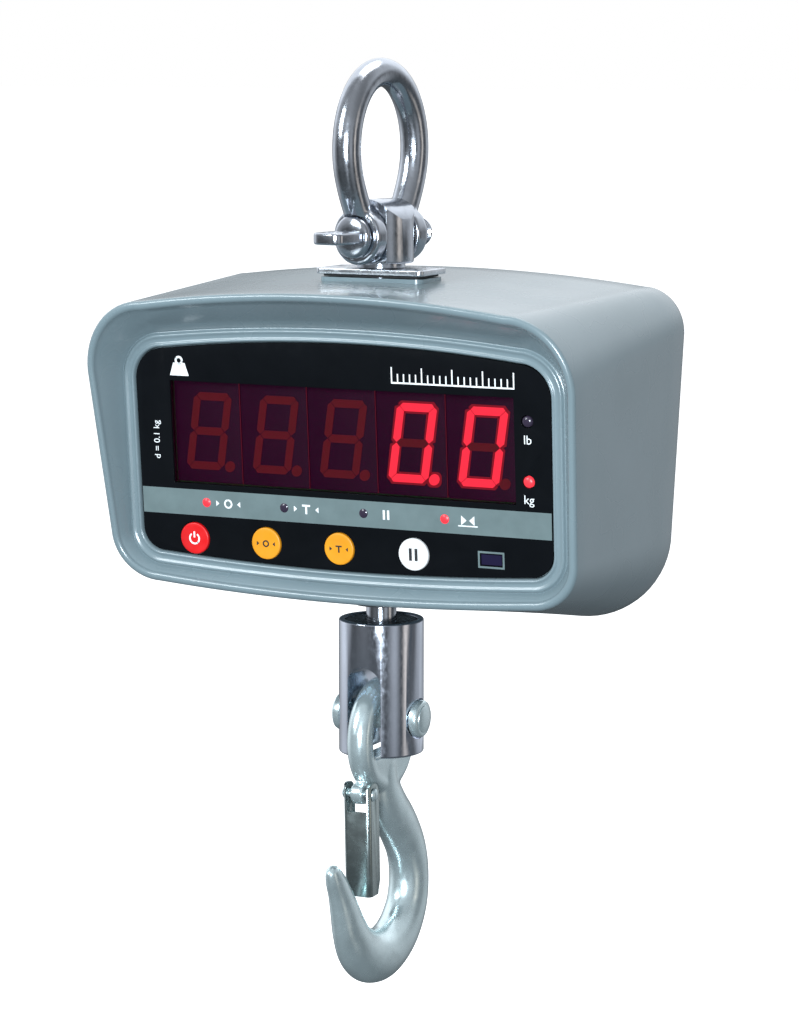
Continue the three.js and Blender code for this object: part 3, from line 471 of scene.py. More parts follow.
def outline(form, inset=0.0, arc_steps=16, crown_steps=14):
    """The housing's barrel outline: crowned top and bottom, tapering sides, round corners."""
    width, top, bottom = form["width"] - inset, form["top"] - inset, form["bottom"] + inset
    round_top, round_bottom = max(form["round_top"] - inset, 1), max(form["round_bottom"] - inset, 1)

    def top_at(x):
        return top - form["crown_top"] * (x / width) ** 2

    def bottom_at(x):
        return bottom + form["crown_bottom"] * (x / width) ** 2

    def side_at(z):
        return width - form["taper"] * (top - z) / (top - bottom)

    x_top = width - round_top
    z_top = top_at(x_top) - round_top
    x_bottom = side_at(bottom) - round_bottom
    z_bottom = bottom_at(x_bottom) + round_bottom
    half = [(x_top * i / crown_steps, top_at(x_top * i / crown_steps)) for i in range(crown_steps)]
    for i in range(arc_steps + 1):
        a = math.pi / 2 * (1 - i / arc_steps)
        half.append((x_top + (side_at(z_top) - x_top) * math.cos(a), z_top + round_top * math.sin(a)))
    for i in range(1, 8):
        z = z_top + (z_bottom - z_top) * i / 8
        half.append((side_at(z), z))
    for i in range(arc_steps + 1):
        a = -math.pi / 2 * i / arc_steps
        across = x_bottom + (side_at(z_bottom) - x_bottom) * math.cos(a)
        half.append((across, z_bottom + round_bottom * math.sin(a)))
    for i in range(1, crown_steps + 1):
        x = x_bottom * (1 - i / crown_steps)
        half.append((x, bottom_at(x)))
    return half + [(-x, z) for x, z in reversed(half[1:-1])]


def finish_piece(obj, body, slot, *replaced):
    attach(obj, body)
    if replaced:
        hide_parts(*replaced)
    return obj


# ---- Housing ----


def face_ring(grow, depth):
    return [on_face((x, depth, z)) for x, z in outline(PANEL, -grow)]


def blend_rings(a, b, t, bow=0.0):
    """A ring between two rings, drawn in along Y by bow at the middle."""
    dip = bow * 4 * t * (1 - t)

    def between(start, end):
        x, y, z = (p + (q - p) * t for p, q in zip(start, end))
        return (x, y + dip, z)

    return [between(start, end) for start, end in zip(a, b)]


def housing():
    # Stepped frame round the panel: (distance out from the panel's edge, depth behind its face)
    bead = [(0.25, 2.0), (0.3, 0.9), (0.5, -0.2), (0.75, -0.8), (1.15, -1.05), (1.55, -0.95)]
    bead += [(1.85, -0.6), (2.3, -0.5), (3.1, -0.55), (3.5, -0.75), (3.8, -1.0), (4.2, -1.1)]
    bead += [(4.6, -0.95), (4.9, -0.5), (5.15, -0.1), (5.5, 0.0)]
    rings = [face_ring(grow, depth) for grow, depth in bead]
    nose = []
    for degrees in range(80, -91, -10):
        a = math.radians(degrees)
        inset = NOSE * (1 + math.sin(a))
        behind = NOSE * (1 - math.cos(a))
        ring = [(x, RIM_DEPTH - z * math.tan(RIM_TILT) + behind, z) for x, z in outline(RIM, inset)]
        nose.append(ring)
    slope = [blend_rings(rings[-1], nose[0], t / 8, -0.4) for t in range(1, 8)]
    back = []
    for degrees in range(0, 91, 9):
        a = math.radians(degrees)
        depth = BACK - BACK_ROUND * (1 - math.sin(a))
        back.append([(x, depth, z) for x, z in outline(REAR, BACK_ROUND * (1 - math.cos(a)))])
    side = [blend_rings(nose[-1], back[0], t / 10) for t in range(1, 10)]
    # Rounded edge and wall of the rear cover's seat: (distance in from the outline, depth)
    seat = [(COVER_INSET - 0.5, 0), (COVER_INSET - 0.1, 0.15), (COVER_INSET, 0.5)]
    seat += [(COVER_INSET, COVER_THICK + 1)]
    lip = [[(x, BACK - drop, z) for x, z in outline(REAR, inset)] for inset, drop in seat]
    ledge, floor, near = 4, 3.2, 6.2
    ledge_front = BACK - COVER_THICK - 4.4
    inner_back = [(x, BACK - BACK_ROUND, z) for x, z in outline(REAR, WALL)]
    inner_near = [on_face((x, near, z)) for x, z in outline(RIM, WALL + 1)]
    inside = [[(x, ledge_front, z) for x, z in outline(REAR, COVER_INSET + 5)]]
    inside += [[(x, ledge_front, z) for x, z in outline(REAR, WALL + 1)], inner_back]
    inside += [inner_near, face_ring(-ledge, near), face_ring(-ledge, floor), face_ring(0.25, floor)]
    rings += slope + nose + side + back + lip + inside
    shell = loft("housing_casting", rings, "paint", 50, loop=True)
    pad_x, pad_y, _ = half_size("top_plate")
    pad = rounded_box(pad_x - 1, pad_y - 1, 3)
    boolean(shell, prism("pad", pad, PAD_TOP - 5, PAD_TOP, "paint", level), "UNION")
    shank_hole, stem_hole = 6.4, 11
    boolean(shell, prism("cut", arc(shank_hole), 0, PAD_TOP + 1, None, level))
    boolean(shell, prism("cut", arc(stem_hole), REAR["bottom"] - 1, 0, None, level))
    smooth(shell, 50)
    one_look(shell, "paint")
    finish_piece(shell, "scale", "housing_paint", "housing_shell")


def one_look(obj, look):
    obj.data.materials.clear()
    obj.data.materials.append(LOOKS[look])
    obj.data.polygons.foreach_set("material_index", [0] * len(obj.data.polygons))


def level(point):
    """An outline drawn in X and Y, raised along Z."""
    a, depth, b = point
    return (a, b, depth)


def half_size(node):
    low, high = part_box(node)
    return tuple((high - low) / 2 / MM)


def panel():
    plate = prism("panel_overlay", outline(PANEL), 0, PANEL_THICK, "panel", on_face)
    half = DIGIT_COUNT * DIGIT_PITCH / 2
    boolean(plate, box_object("cut", (-half, -1, WINDOW_BOTTOM), (half, 3, WINDOW_TOP), None, on_face))
    ex, ez = EYE_AT
    sx, sz = EYE_SIZE[0] / 2, EYE_SIZE[1] / 2
    boolean(plate, box_object("cut", (ex - sx, -1, ez - sz), (ex + sx, 3, ez + sz), None, on_face))
    holes = [(KEY_FIRST + KEY_PITCH * i, KEY_ROW, KEY_RADIUS + GAP) for i in range(len(KEYS))]
    holes += [(x, z, LAMP_RADIUS + GAP) for x, z in LAMPS.values()]
    for x, z, radius in holes:
        boolean(plate, prism("cut", arc(radius, (x, z), steps=48), -1, 3, None, on_face))
    bevel(plate, 0.22, 2)
    one_look(plate, "panel")
    finish_piece(plate, "scale", "panel_black", "front_panel")


def ink(name, outlines, look, slot, body="scale", depth=0.0, thick=0.05):
    """Printed shapes: thin raised outlines on the panel's face, joined as one piece."""
    points, faces = [], []
    for shape in outlines:
        start, count = len(points), len(shape)
        points += [on_face((a, depth, b)) for a, b in shape]
        points += [on_face((a, depth - thick, b)) for a, b in shape]
        faces.append(tuple(range(start, start + count)))
        faces.append(tuple(range(start + count, start + 2 * count)))
        for i in range(count):
            j = (i + 1) % count
            faces.append((start + i, start + j, start + count + j, start + count + i))
    obj = mesh_object(name, points, faces, look, 30)
    return finish_piece(obj, body, slot)


def ring_shape(centre, outer, inner, start=0, end=360, steps=32):
    """A ring or part of one, as quads that ink can print."""
    quads = []
    for i in range(steps):
        a0 = math.radians(start + (end - start) * i / steps)
        a1 = math.radians(start + (end - start) * (i + 1) / steps)
        corners = ((outer, a0), (outer, a1), (inner, a1), (inner, a0))
        quads.append([(centre[0] + r * math.cos(a), centre[1] + r * math.sin(a)) for r, a in corners])
    return quads


def bar(x0, z0, x1, z1):
    return [(x0, z0), (x1, z0), (x1, z1), (x0, z1)]


def arrow(x, z, size, way):
    return [(x, z - size), (x + way * size * 1.2, z), (x, z + size)]


def zero_mark(x, z, s):
    marks = ring_shape((x, z), s, s * 0.62)
    return marks + [arrow(x - s * 2.9, z, s * 0.62, 1), arrow(x + s * 2.9, z, s * 0.62, -1)]


def tare_mark(x, z, s):
    return [
        bar(x - s * 0.95, z + s * 0.6, x + s * 0.95, z + s),
        bar(x - s * 0.22, z - s, x + s * 0.22, z + s * 0.6),
        arrow(x - s * 2.9, z, s * 0.62, 1),
        arrow(x + s * 2.9, z, s * 0.62, -1),
    ]


def hold_mark(x, z, s):
    return [bar(x - s * 0.75, z - s, x - s * 0.25, z + s), bar(x + s * 0.25, z - s, x + s * 0.75, z + s)]


def stable_mark(x, z, s):
    line = bar(x - s * 2.2, z - s * 1.3, x + s * 2.2, z - s * 1.05)
    return [arrow(x - s * 1.5, z, s, 1), arrow(x + s * 1.5, z, s, -1), line]


def power_mark(x, z, s):
    stroke = bar(x - s * 0.14, z + s * 0.15, x + s * 0.14, z + s * 1.15)
    return ring_shape((x, z), s, s * 0.72, 125, 415, 28) + [stroke]


def lettering(name, text, u, v, size, look, turn=0.0):
    """A short generic word set in Blender's own font and laid on the panel."""
    curve = bpy.data.curves.new(name, "FONT")
    curve.body = text
    curve.size = size
    curve.align_x = "CENTER"
    curve.align_y = "CENTER"
    curve.resolution_u = 4
    source = bpy.data.objects.new(name + "_source", curve)
    bpy.context.scene.collection.objects.link(source)
    graph = bpy.context.evaluated_depsgraph_get()
    graph.update()
    flat = bpy.data.meshes.new_from_object(source.evaluated_get(graph))
    bpy.data.objects.remove(source)
    spin = Matrix.Rotation(turn, 2)
    for vertex in flat.vertices:
        a, b = spin @ Vector(vertex.co[:2])
        vertex.co = to_frame(on_face((u + a, -0.06, v + b)))
    flat.materials.clear()
    flat.materials.append(LOOKS[look])
    obj = bpy.data.objects.new(name, flat)
    bpy.context.scene.collection.objects.link(obj)
    body = bmesh.new()
    body.from_mesh(flat)
    bmesh.ops.remove_doubles(body, verts=body.verts, dist=WELD)
    body.to_mesh(flat)
    body.free()
    solid = obj.modifiers.new("thick", "SOLIDIFY")
    solid.thickness = 0.05 * MM
    apply_modifiers(obj)
    return finish_piece(obj, "scale", "panel_black")


def prints():
    low, high, margin = -26.0, -16.2, 0.3
    lean = PANEL["taper"] / (PANEL["top"] - PANEL["bottom"])
    sides = [(PANEL["width"] - margin - lean * (PANEL["top"] - z), z) for z in (high, low)]
    ink("status_band", [sides + [(-x, z) for x, z in reversed(sides)]], "band", "panel_black")
    marks = {"zero": zero_mark, "tare": tare_mark, "hold": hold_mark, "stable": stable_mark}
    shapes = []
    for name, draw in marks.items():
        x, z = LAMPS[name]
        shapes += draw(x + 9.2, z, 1.75)
    ink("status_marks", shapes, "print", "panel_black", depth=-0.05)
    lettering("unit_lb", "lb", 75.1, 9.6, 4.6, "print")
    lettering("unit_kg", "kg", 75.1, -12.0, 4.6, "print")
    lettering("division", "d = 0.1 kg", -76.4, 2.0, 3.6, "print", math.pi / 2)
    weight = [(-69.6, 26.6), (-61.6, 26.6), (-63.2, 31.4), (-68.0, 31.4)]
    ink("weight_sign", [weight] + ring_shape((-65.6, 32.3), 1.7, 0.9), "print", "panel_black")
    ticks = [bar(22 + 2.4 * i, 28.2, 22.5 + 2.4 * i, 33.6 if i % 5 == 0 else 31.2) for i in range(21)]
    ink("graduations", ticks + [bar(22, 27.6, 70.5, 28.2)], "print", "panel_black")
    ex, ez = EYE_AT
    border = frame_shape(ex, ez, EYE_SIZE[0] / 2 + 0.9, EYE_SIZE[1] / 2 + 0.9, 0.7)
    ink("eye_border", border, "band", "panel_black")


def frame_shape(x, z, half_x, half_z, width):
    return [
        bar(x - half_x, z + half_z - width, x + half_x, z + half_z),
        bar(x - half_x, z - half_z, x + half_x, z - half_z + width),
        bar(x - half_x, z - half_z + width, x - half_x + width, z + half_z - width),
        bar(x + half_x - width, z - half_z + width, x + half_x, z + half_z - width),
    ]


# ---- Display, lamps and keys ----

GLYPH = dict(width=16.0, height=29.2, bar=3.0, split=0.13, corner=2.2, slant=math.tan(math.radians(9.5)))
GLYPH_LEFT, GLYPH_BOTTOM = -65.9, -8.9
LIT = {3: "abcdef.", 4: "abcdef"}


def segment_shapes():
    """The seven segments and the point of one figure, upright, from its lower left corner."""
    w, h, t, g = GLYPH["width"], GLYPH["height"], GLYPH["bar"], GLYPH["split"]
    c, m = GLYPH["corner"] / 2, h / 2
    top = [(c + g, h - c), (2 * c, h), (w - 2 * c, h), (w - c - g, h - c)]
    top += [(w - t - g, h - t), (t + g, h - t)]
    upper = [(0, h - 2 * c), (c, h - c - g), (t, h - t - g), (t, m + t / 2 + g)]
    upper += [(t / 2, m + g), (0, m + t / 2)]
    middle = [(t * 0.55 + g, m), (t + g, m + t / 2), (w - t - g, m + t / 2), (w - t * 0.55 - g, m)]
    middle += [(w - t - g, m - t / 2), (t + g, m - t / 2)]

    def flip_x(shape):
        return [(w - x, z) for x, z in shape]

    def flip_z(shape):
        return [(x, h - z) for x, z in shape]

    return {
        "a": top,
        "b": flip_x(upper),
        "c": flip_x(flip_z(upper)),
        "d": flip_z(top),
        "e": flip_z(upper),
        "f": upper,
        "g": middle,
        ".": arc(2.1, (w + 2.4, 1.6), steps=24),
    }


def grown(shape, amount):
    """A convex outline pushed out from its middle by the same amount along both axes."""
    cx = sum(x for x, _ in shape) / len(shape)
    cz = sum(z for _, z in shape) / len(shape)
    return [(x + math.copysign(amount, x - cx), z + math.copysign(amount, z - cz)) for x, z in shape]


def display():
    """Five modules of unlit and lit segments. The lit ones glow a little past their edges, a painted glow;
    the unlit segments and the module edges get a faint painted glow too.
    """
    face_depth = 2.7
    half_height = (WINDOW_TOP - WINDOW_BOTTOM) / 2 - GAP
    middle = (WINDOW_TOP + WINDOW_BOTTOM) / 2
    face = rounded_box(DIGIT_PITCH / 2 - GAP, half_height, 0.5, 3)
    groups = {"lit": [], "dim": []}
    for i in range(DIGIT_COUNT):
        across = (i - (DIGIT_COUNT - 1) / 2) * DIGIT_PITCH
        shape = [(across + x, middle + z) for x, z in face]
        body = prism(f"digit_case_{i + 1}", shape, face_depth, face_depth + 9, "digit", on_face)
        finish_piece(bevel(body, 0.2, 2), "scale", "digit_face", f"digit_{i + 1}")
        for key, points in segment_shapes().items():
            state = "lit" if key in LIT.get(i, "") else "dim"
            left = GLYPH_LEFT + DIGIT_PITCH * i
            groups[state].append([(left + x + GLYPH["slant"] * z, GLYPH_BOTTOM + z) for x, z in points])
    # The lit segments glow as lamps; the unlit ones glow faintly, as painted glow
    for state, shapes in groups.items():
        ink(f"segments_{state}", shapes, state, "lamp_red", depth=face_depth, thick=0.15)
    # Painted glow a little past the lit segments' edges
    halo = [grown(shape, 0.8) for shape in groups["lit"]]
    ink("segments_halo", halo, "halo", "lamp_red", depth=face_depth, thick=0.06)
    # Module edges with a faint painted glow
    lines = [bar(x - 0.14, WINDOW_BOTTOM + 0.4, x + 0.14, WINDOW_TOP - 0.4) for x in (-42, -14, 14, 42)]
    ink("module_edges", lines, "divider", "lamp_red", depth=face_depth, thick=0.1)


def face_turned(name, profile, centre, look, sides=64, sharp=40):
    """A round piece on the panel: profile is [radius, depth] pairs."""
    cx, cz = centre

    def place(point):
        x, y, depth = point
        return on_face((cx + x, depth, cz + y))

    return turned(name, profile, look, sides, sharp, place=place)


def lamps():
    for name, centre in LAMPS.items():
        lit = name in LAMPS_ON
        r = LAMP_RADIUS
        dome = [(ON_AXIS, -0.55), (0.5, -0.52), (1.0, -0.42), (1.5, -0.22), (1.85, 0.02), (r, 0.4)]
        dome += [(r, 11.7), (ON_AXIS, 11.7)]
        lens = face_turned(f"lens_{name}", dome, centre, "lamp_on" if lit else "lamp_off", 40, 60)
        finish_piece(lens, "scale", "lamp_red", f"lamp_{name}")


def keys():
    looks = {"on_off": "key_red", "zero": "key_amber", "tare": "key_amber", "hold": "key_white"}
    for i, name in enumerate(KEYS):
        centre = (KEY_FIRST + KEY_PITCH * i, KEY_ROW)
        r, p = KEY_RADIUS, KEY_PROUD
        profile = [(ON_AXIS, -p + 0.1), (r * 0.75, -p + 0.06), (r - 0.55, -p), (r - 0.3, -p + 0.05)]
        profile += [(r - 0.08, -p + 0.22), (r, -p + 0.5), (r, 1.0), (1.8, 1.0), (1.8, 7.0), (ON_AXIS, 7.0)]
        cap = face_turned(f"cap_{name}", profile, centre, looks[name], 72, 50)
        finish_piece(cap, f"key_{name}", looks[name], f"key_{name}")
    draw = {"on_off": power_mark, "zero": zero_mark, "tare": tare_mark, "hold": hold_mark}
    for i, name in enumerate(KEYS):
        x = KEY_FIRST + KEY_PITCH * i
        size = 2.3 if name in ("on_off", "hold") else 1.3
        look = "print" if name == "on_off" else "print_dark"
        shapes = draw[name](x, KEY_ROW, size)
        ink(f"mark_{name}", shapes, look, looks[name], f"key_{name}", depth=-KEY_PROUD + 0.1, thick=0.14)


# ---- Shackle, lug and plate ----


def shackle():
    rod, bow, jaw, ear_thick, ear = 5.3, 20.95, 18.3, 6.5, 10.5
    outer = jaw / 2 + ear_thick
    rise = 28
    arch = CROWN + 4.75 - rise
    path = []
    for i in range(16):
        t = i / 16
        reach = 12.6 + (bow - 12.6) * math.sin(t * math.pi / 2)
        path.append((reach, PIN_HEIGHT + 6 + (arch - PIN_HEIGHT - 6) * t))
    path += [(bow * math.cos(a), arch + rise * math.sin(a)) for a in [math.pi * i / 48 for i in range(49)]]
    path += [(-y, z) for y, z in reversed(path[:16])]
    bar_piece = sweep("shackle_forging", path, rod, 40, "stainless", with_shackle)
    for side in (-1, 1):
        span = sorted((side * jaw / 2, side * outer))
        profile = rounded(rod_profile(ear, *span), 1.2)
        boolean(bar_piece, turned("ear", profile, None, 64, place=at_shackle_pin), "UNION")
    low, high = (-20, -jaw / 2, PIN_HEIGHT - 20), (20, jaw / 2, PIN_HEIGHT + 14.4)
    boolean(bar_piece, box_object("cut", low, high, None, with_shackle))
    forge(bar_piece, 0.55, 6)
    for side in (-1, 1):
        start, end = sorted((side * (outer - 0.05), side * (outer + 8)))
        spot_face = rod_profile(8.4, start, end)
        boolean(bar_piece, turned("cut", spot_face, None, 64, place=at_shackle_pin))
    boolean(bar_piece, turned("cut", rod_profile(5.65, -30, 30), None, 64, place=at_shackle_pin))
    smooth(bar_piece, 40)
    finish_piece(bar_piece, "shackle", "bright_steel", "shackle_bow")


def sweep(name, path, radius, sides, look, place, widths=None):
    """A bar along a path in the YZ plane; widths gives (half depth, half thickness) at each point."""
    rings = []
    for i, (y, z) in enumerate(path):
        before, after = path[max(i - 1, 0)], path[min(i + 1, len(path) - 1)]
        way = Vector((after[0] - before[0], after[1] - before[1])).normalized()
        across = (way[1], -way[0])
        deep, thick = widths[i] if widths else (radius, radius)
        ring = []
        for s in range(sides):
            a = 2 * math.pi * s / sides
            c = deep * math.cos(a)
            ring.append(place((thick * math.sin(a), y + across[0] * c, z + across[1] * c)))
        rings.append(ring)
    return loft(name, rings, look, 60)


def shackle_pin():
    outer = 9.15 + 6.5
    front = -outer - GAP
    collar = front - 3
    profile = [(ON_AXIS, collar - 0.6), (4.4, collar - 0.5), (6.2, collar - 0.1), (7.2, collar + 0.25)]
    profile += [(7.7, collar + 0.8), (7.8, collar + 1.5), (7.8, front - 0.5), (7.4, front)]
    profile += [(5.5, front), (5.5, outer + 0.4)]
    for i in range(8):
        start = outer + 0.6 + i * 1.1
        profile += [(5.5, start), (5.5, start + 0.25), (5.0, start + 0.55), (5.0, start + 0.75)]
    profile += [(5.1, outer + 9.6), (4.6, outer + 10), (ON_AXIS, outer + 10)]
    pin = turned("shackle_bolt", profile, "stainless", 72, 30, place=at_shackle_pin)

    def flat(point):
        return with_shackle(level(point))

    tab_middle = collar - 7.5
    shape = [(x, y + tab_middle) for x, y in rounded_box(6.5, 8.5, 4)]
    tab = prism("tab", shape, PIN_HEIGHT - 2.2, PIN_HEIGHT + 2.2, None, flat)
    hole = arc(2.6, (0, tab_middle - 2))
    boolean(tab, prism("cut", hole, PIN_HEIGHT - 5, PIN_HEIGHT + 5, None, flat))
    bevel(tab, 0.9, 4)
    boolean(pin, tab, "UNION")
    smooth(pin, 35)
    one_look(pin, "stainless")
    finish_piece(pin, "shackle", "bright_steel", "shackle_pin")


def lug():
    radius, half, top, bottom = 12.2, 8.5, PIN_HEIGHT + 13.4, PIN_HEIGHT - 10.2
    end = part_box("lifting_lug")[0][2] / MM + CROWN
    plate_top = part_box("top_plate")[1][2] / MM + CROWN
    profile = rounded(rod_profile(radius, bottom, top), 1.0)
    body = turned("lug_bar", profile, "stainless", 128, place=with_shackle)
    dome = arc(top - PIN_HEIGHT, (0, PIN_HEIGHT), 0, 180, 64) + [(-13.4, bottom - 1), (13.4, bottom - 1)]
    boolean(body, prism("keep", dome, -half, half, None, with_shackle), "INTERSECT")
    boolean(body, turned("cut", rod_profile(5.8, -20, 20), None, 64, place=at_shackle_pin))
    bevel(body, 0.6, 4)
    neck = [(ON_AXIS, end), (6, end), (6, plate_top - 0.5), (6.5, plate_top + GAP), (9, plate_top + GAP)]
    neck += [(9, bottom + 0.5), (ON_AXIS, bottom + 0.5)]
    boolean(body, turned("neck", neck, None, 96, place=with_shackle), "UNION")
    smooth(body, 30)
    one_look(body, "stainless")
    finish_piece(body, "scale", "bright_steel", "lifting_lug")


def top_plate():
    low, high = (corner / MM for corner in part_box("top_plate"))
    shape = rounded_box((high[0] - low[0]) / 2, (high[1] - low[1]) / 2, 2.2)
    plate = prism("seat_plate", shape, low[2] + CROWN, high[2] + CROWN, "plate", level)
    boolean(plate, prism("cut", arc(6.3), low[2] + CROWN - 1, high[2] + CROWN + 1, None, level))
    finish_piece(bevel(plate, 0.35, 3), "scale", "bright_steel", "top_plate")


# ---- Stem, clevis, hook and latch ----


def stem():
    low, high = (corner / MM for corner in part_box("hook_stem"))
    bottom, top = low[2] + CROWN, high[2] + CROWN
    head, shank, head_top = 9, 5.7, bottom + 5
    profile = [(ON_AXIS, bottom), (head, bottom), (head, head_top)]
    profile += [(shank, head_top), (shank, top), (ON_AXIS, top)]
    bar_piece = turned("stem_bar", rounded(profile, 0.4), "stainless", 96)
    finish_piece(bar_piece, "scale", "bright_steel", "hook_stem")


def clevis():
    low, high = (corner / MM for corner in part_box("clevis"))
    bottom, top = low[2] + CROWN, high[2] + CROWN
    radius, slot, slot_top = 16, 13.8, -81.6
    recess, floor = 13.5, top - 5.5
    profile = [(ON_AXIS, bottom), (radius, bottom), (radius, top)]
    profile += [(recess, top), (recess, floor), (ON_AXIS, floor)]
    body = turned("clevis_body", rounded(profile, 1.0, 5), "chrome", 160)
    half = slot / 2
    shape = arc(half, (0, slot_top - half), 0, 180, 40) + [(-half, bottom - 2), (half, bottom - 2)]
    boolean(body, prism("cut", shape, -20, 20, None, same))
    for side in (-1, 1):
        start, end = sorted((side * 14.2, side * 18))
        boolean(body, turned("cut", rod_profile(7.7, start, end), None, 64, place=at_clevis_pin))
    boolean(body, turned("cut", rod_profile(5.3, -20, 20), None, 64, place=at_clevis_pin))
    bevel(body, 0.45, 3, 40)
    smooth(body, 30)
    one_look(body, "chrome")
    finish_piece(body, "swivel", "clevis_chrome", "clevis")
    cap_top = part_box("clevis_cap")[1][2] / MM + CROWN
    cap = rounded([(6.0, cap_top - 4.4), (13.2, cap_top - 4.4), (13.2, cap_top), (6.0, cap_top)], 0.5)
    ring = turned("swivel_cap", cap, "dark_steel", 96, loop=True)
    finish_piece(ring, "swivel", "dark_steel", "clevis_cap")
    clevis_pin()


def at_clevis_pin(point):
    x, y, depth = point
    return (depth, x, CLEVIS_PIN_HEIGHT + y)


def clevis_pin():
    """A shouldered pin peened over at both ends: each head has a ring groove and a low dome."""
    seat, end, head, shank = 14.5, 18.9, 7.0, 5.0
    half = [(ON_AXIS, end), (1.5, end - 0.03), (3.0, end - 0.15), (4.3, end - 0.4), (5.0, end - 0.65)]
    half += [(5.15, end - 0.95), (5.4, end - 1.0), (6.1, end - 1.05), (6.7, end - 1.4), (head, end - 2.0)]
    half += [(head, seat + 0.3), (6.7, seat), (shank, seat)]
    profile = half + [(r, -h) for r, h in reversed(half)]
    pin = turned("clevis_bolt", profile, "zinc", 72, 35, place=at_clevis_pin)
    finish_piece(pin, "swivel", "zinc", "clevis_pin")


# The hook as oval sections along its middle: (y, z, half depth in its own plane, half thickness)
HOOK_RUN = (
    (0, -120, 8.6, 5.0), (0.5, -130, 9.5, 5.6), (6, -139, 9.8, 6.3), (14.2, -148, 9.8, 6.8),
    (21, -158, 9.4, 7.1), (23.6, -169, 9.2, 7.3), (21.4, -180.5, 9.6, 7.5), (13, -189.8, 10.2, 7.7),
    (0.6, -194.2, 10.6, 7.7), (-12, -192.6, 10.3, 7.4), (-21.3, -187, 9.6, 6.6), (-27, -179, 8.6, 5.6),
    (-30.8, -171, 7.4, 4.7), (-34.8, -163, 5.8, 3.8), (-38.6, -157, 4.6, 3.2), (-40.9, -153.6, 3.2, 2.4),
)


def curve_through(rows, steps):
    """Catmull-Rom curve through rows of numbers, with the same number of steps between each pair."""
    rows = [Vector(row) for row in rows]
    result = []
    for k in range(len(rows) - 1):
        p0, p1, p2, p3 = rows[max(k - 1, 0)], rows[k], rows[k + 1], rows[min(k + 2, len(rows) - 1)]
        for i in range(steps):
            t = i / steps
            a = p1 * 2
            b = (p2 - p0) * t
            c = (p0 * 2 - p1 * 5 + p2 * 4 - p3) * t * t
            d = (-p0 + p1 * 3 - p2 * 3 + p3) * t ** 3
            result.append((a + b + c + d) * 0.5)
    result.append(rows[-1])
    return result


def hook():
    run = curve_through(HOOK_RUN, 6)
    path = [(p[0], p[1]) for p in run]
    widths = [(p[2], p[3]) for p in run]
    # The tip is closed by a round end
    tip, before = Vector(path[-1]), Vector(path[-4])
    way = (tip - before).normalized()
    deep, thick = widths[-1]
    for degrees in (25, 50, 70, 84):
        a = math.radians(degrees)
        path.append(tuple(tip + way * 1.9 * math.sin(a)))
        widths.append((deep * math.cos(a), thick * math.cos(a)))
    body = sweep("hook_forging", path, 0, 32, "zinc", same, widths)
    inside, half, pin_radius = 12.9, 4.9, 5
    eye_height = CLEVIS_PIN_HEIGHT + pin_radius + GAP - inside  # the eye hangs on the pin
    section = [(inside + half + r, h) for r, h in arc(half, steps=32)]

    def place(p):
        x, y, depth = p
        return (depth, x, eye_height + y)

    boolean(body, turned("eye", section, None, 96, loop=True, place=place), "UNION")
    # A web fills the foot of the eye
    floor, web, across = eye_height - inside, 4.7, 13.2
    web_piece = box_object("web", (-web, -across, floor - 2), (web, across, floor + 6.5), None)
    boolean(body, web_piece, "UNION")
    py, pz = LATCH_PIVOT
    boss = [(py + a, pz + b) for a, b in arc(4, (0, 0), 90, 270, 24)] + [(2, pz - 7), (2, pz + 3)]
    boss_piece = prism("boss", boss, -2.4, 2.4, None, lambda p: (p[1], p[0], p[2]))
    boolean(body, boss_piece, "UNION")
    forge(body, 0.6, 7)
    boolean(body, turned("cut", rod_profile(RIVET_HOLE, -9, 9), None, 32, place=at_latch_pivot))
    smooth(body, 45)
    finish_piece(body, "hook", "zinc", "hook")


RIVET_HOLE = 1.9


def at_latch_pivot(point):
    x, y, depth = point
    return (depth, LATCH_PIVOT[0] + x, LATCH_PIVOT[1] + y)


def latch():
    half, sheet, front, rear, length, ear = 5.6, 1.2, 3.7, 4.4, 38.9, 4.2
    lean = math.radians(2)

    def place(point):
        x, y, z = point
        turned_y = LATCH_PIVOT[0] + y * math.cos(lean) - z * math.sin(lean)
        turned_z = LATCH_PIVOT[1] + y * math.sin(lean) + z * math.cos(lean)
        return (x, turned_y, turned_z)

    outer_bend, inner_bend = 1.9, 0.8
    outside = arc(outer_bend, (-half + outer_bend, -front + outer_bend), 180, 270, 8)
    outside += arc(outer_bend, (half - outer_bend, -front + outer_bend), 270, 360, 8)
    inner_half, inner_front = half - sheet, -front + sheet
    inside = arc(inner_bend, (inner_half - inner_bend, inner_front + inner_bend), 360, 270, 8)
    inside += arc(inner_bend, (-inner_half + inner_bend, inner_front + inner_bend), 270, 180, 8)
    channel = outside + [(half, rear), (inner_half, rear)] + inside + [(-inner_half, rear), (-half, rear)]
    body = prism("latch_sheet", channel, -length, ear, "zinc", lambda p: place(level(p)))
    profile = [(-front - 1, -length - 1), (-front - 1, 0.5)] + arc(front + 0.6, (0, 0), 170, 10, 24)
    profile += [(rear + 1, 0), (rear + 1, -length + 8), (rear - 2.2, -length - 1)]
    boolean(body, prism("keep", profile, -8, 8, None, lambda p: place((p[1], p[0], p[2]))), "INTERSECT")
    notch = box_object("cut", (-half + 1.3, -front - 1, -6.4), (half - 1.3, rear + 1, ear + 1), None, place)
    boolean(body, notch)
    boolean(body, turned("cut", rod_profile(RIVET_HOLE, -9, 9), None, 32, place=at_latch_pivot))
    bevel(body, 0.22, 2, 50)
    smooth(body, 40)
    one_look(body, "latch_zinc")
    finish_piece(body, "latch", "zinc", "latch")
    seat = half + GAP
    head = [(ON_AXIS, seat + 1.1), (1.0, seat + 1.02), (1.8, seat + 0.75), (2.3, seat + 0.3)]
    head += [(2.4, seat), (1.6, seat)]
    head += [(r, -h) for r, h in reversed(head)]
    rivet = turned("latch_pin", head, "zinc", 40, 40, place=at_latch_pivot)
    finish_piece(rivet, "hook", "zinc", "latch_rivet")


# ---- Parts that keep their CAD shape ----


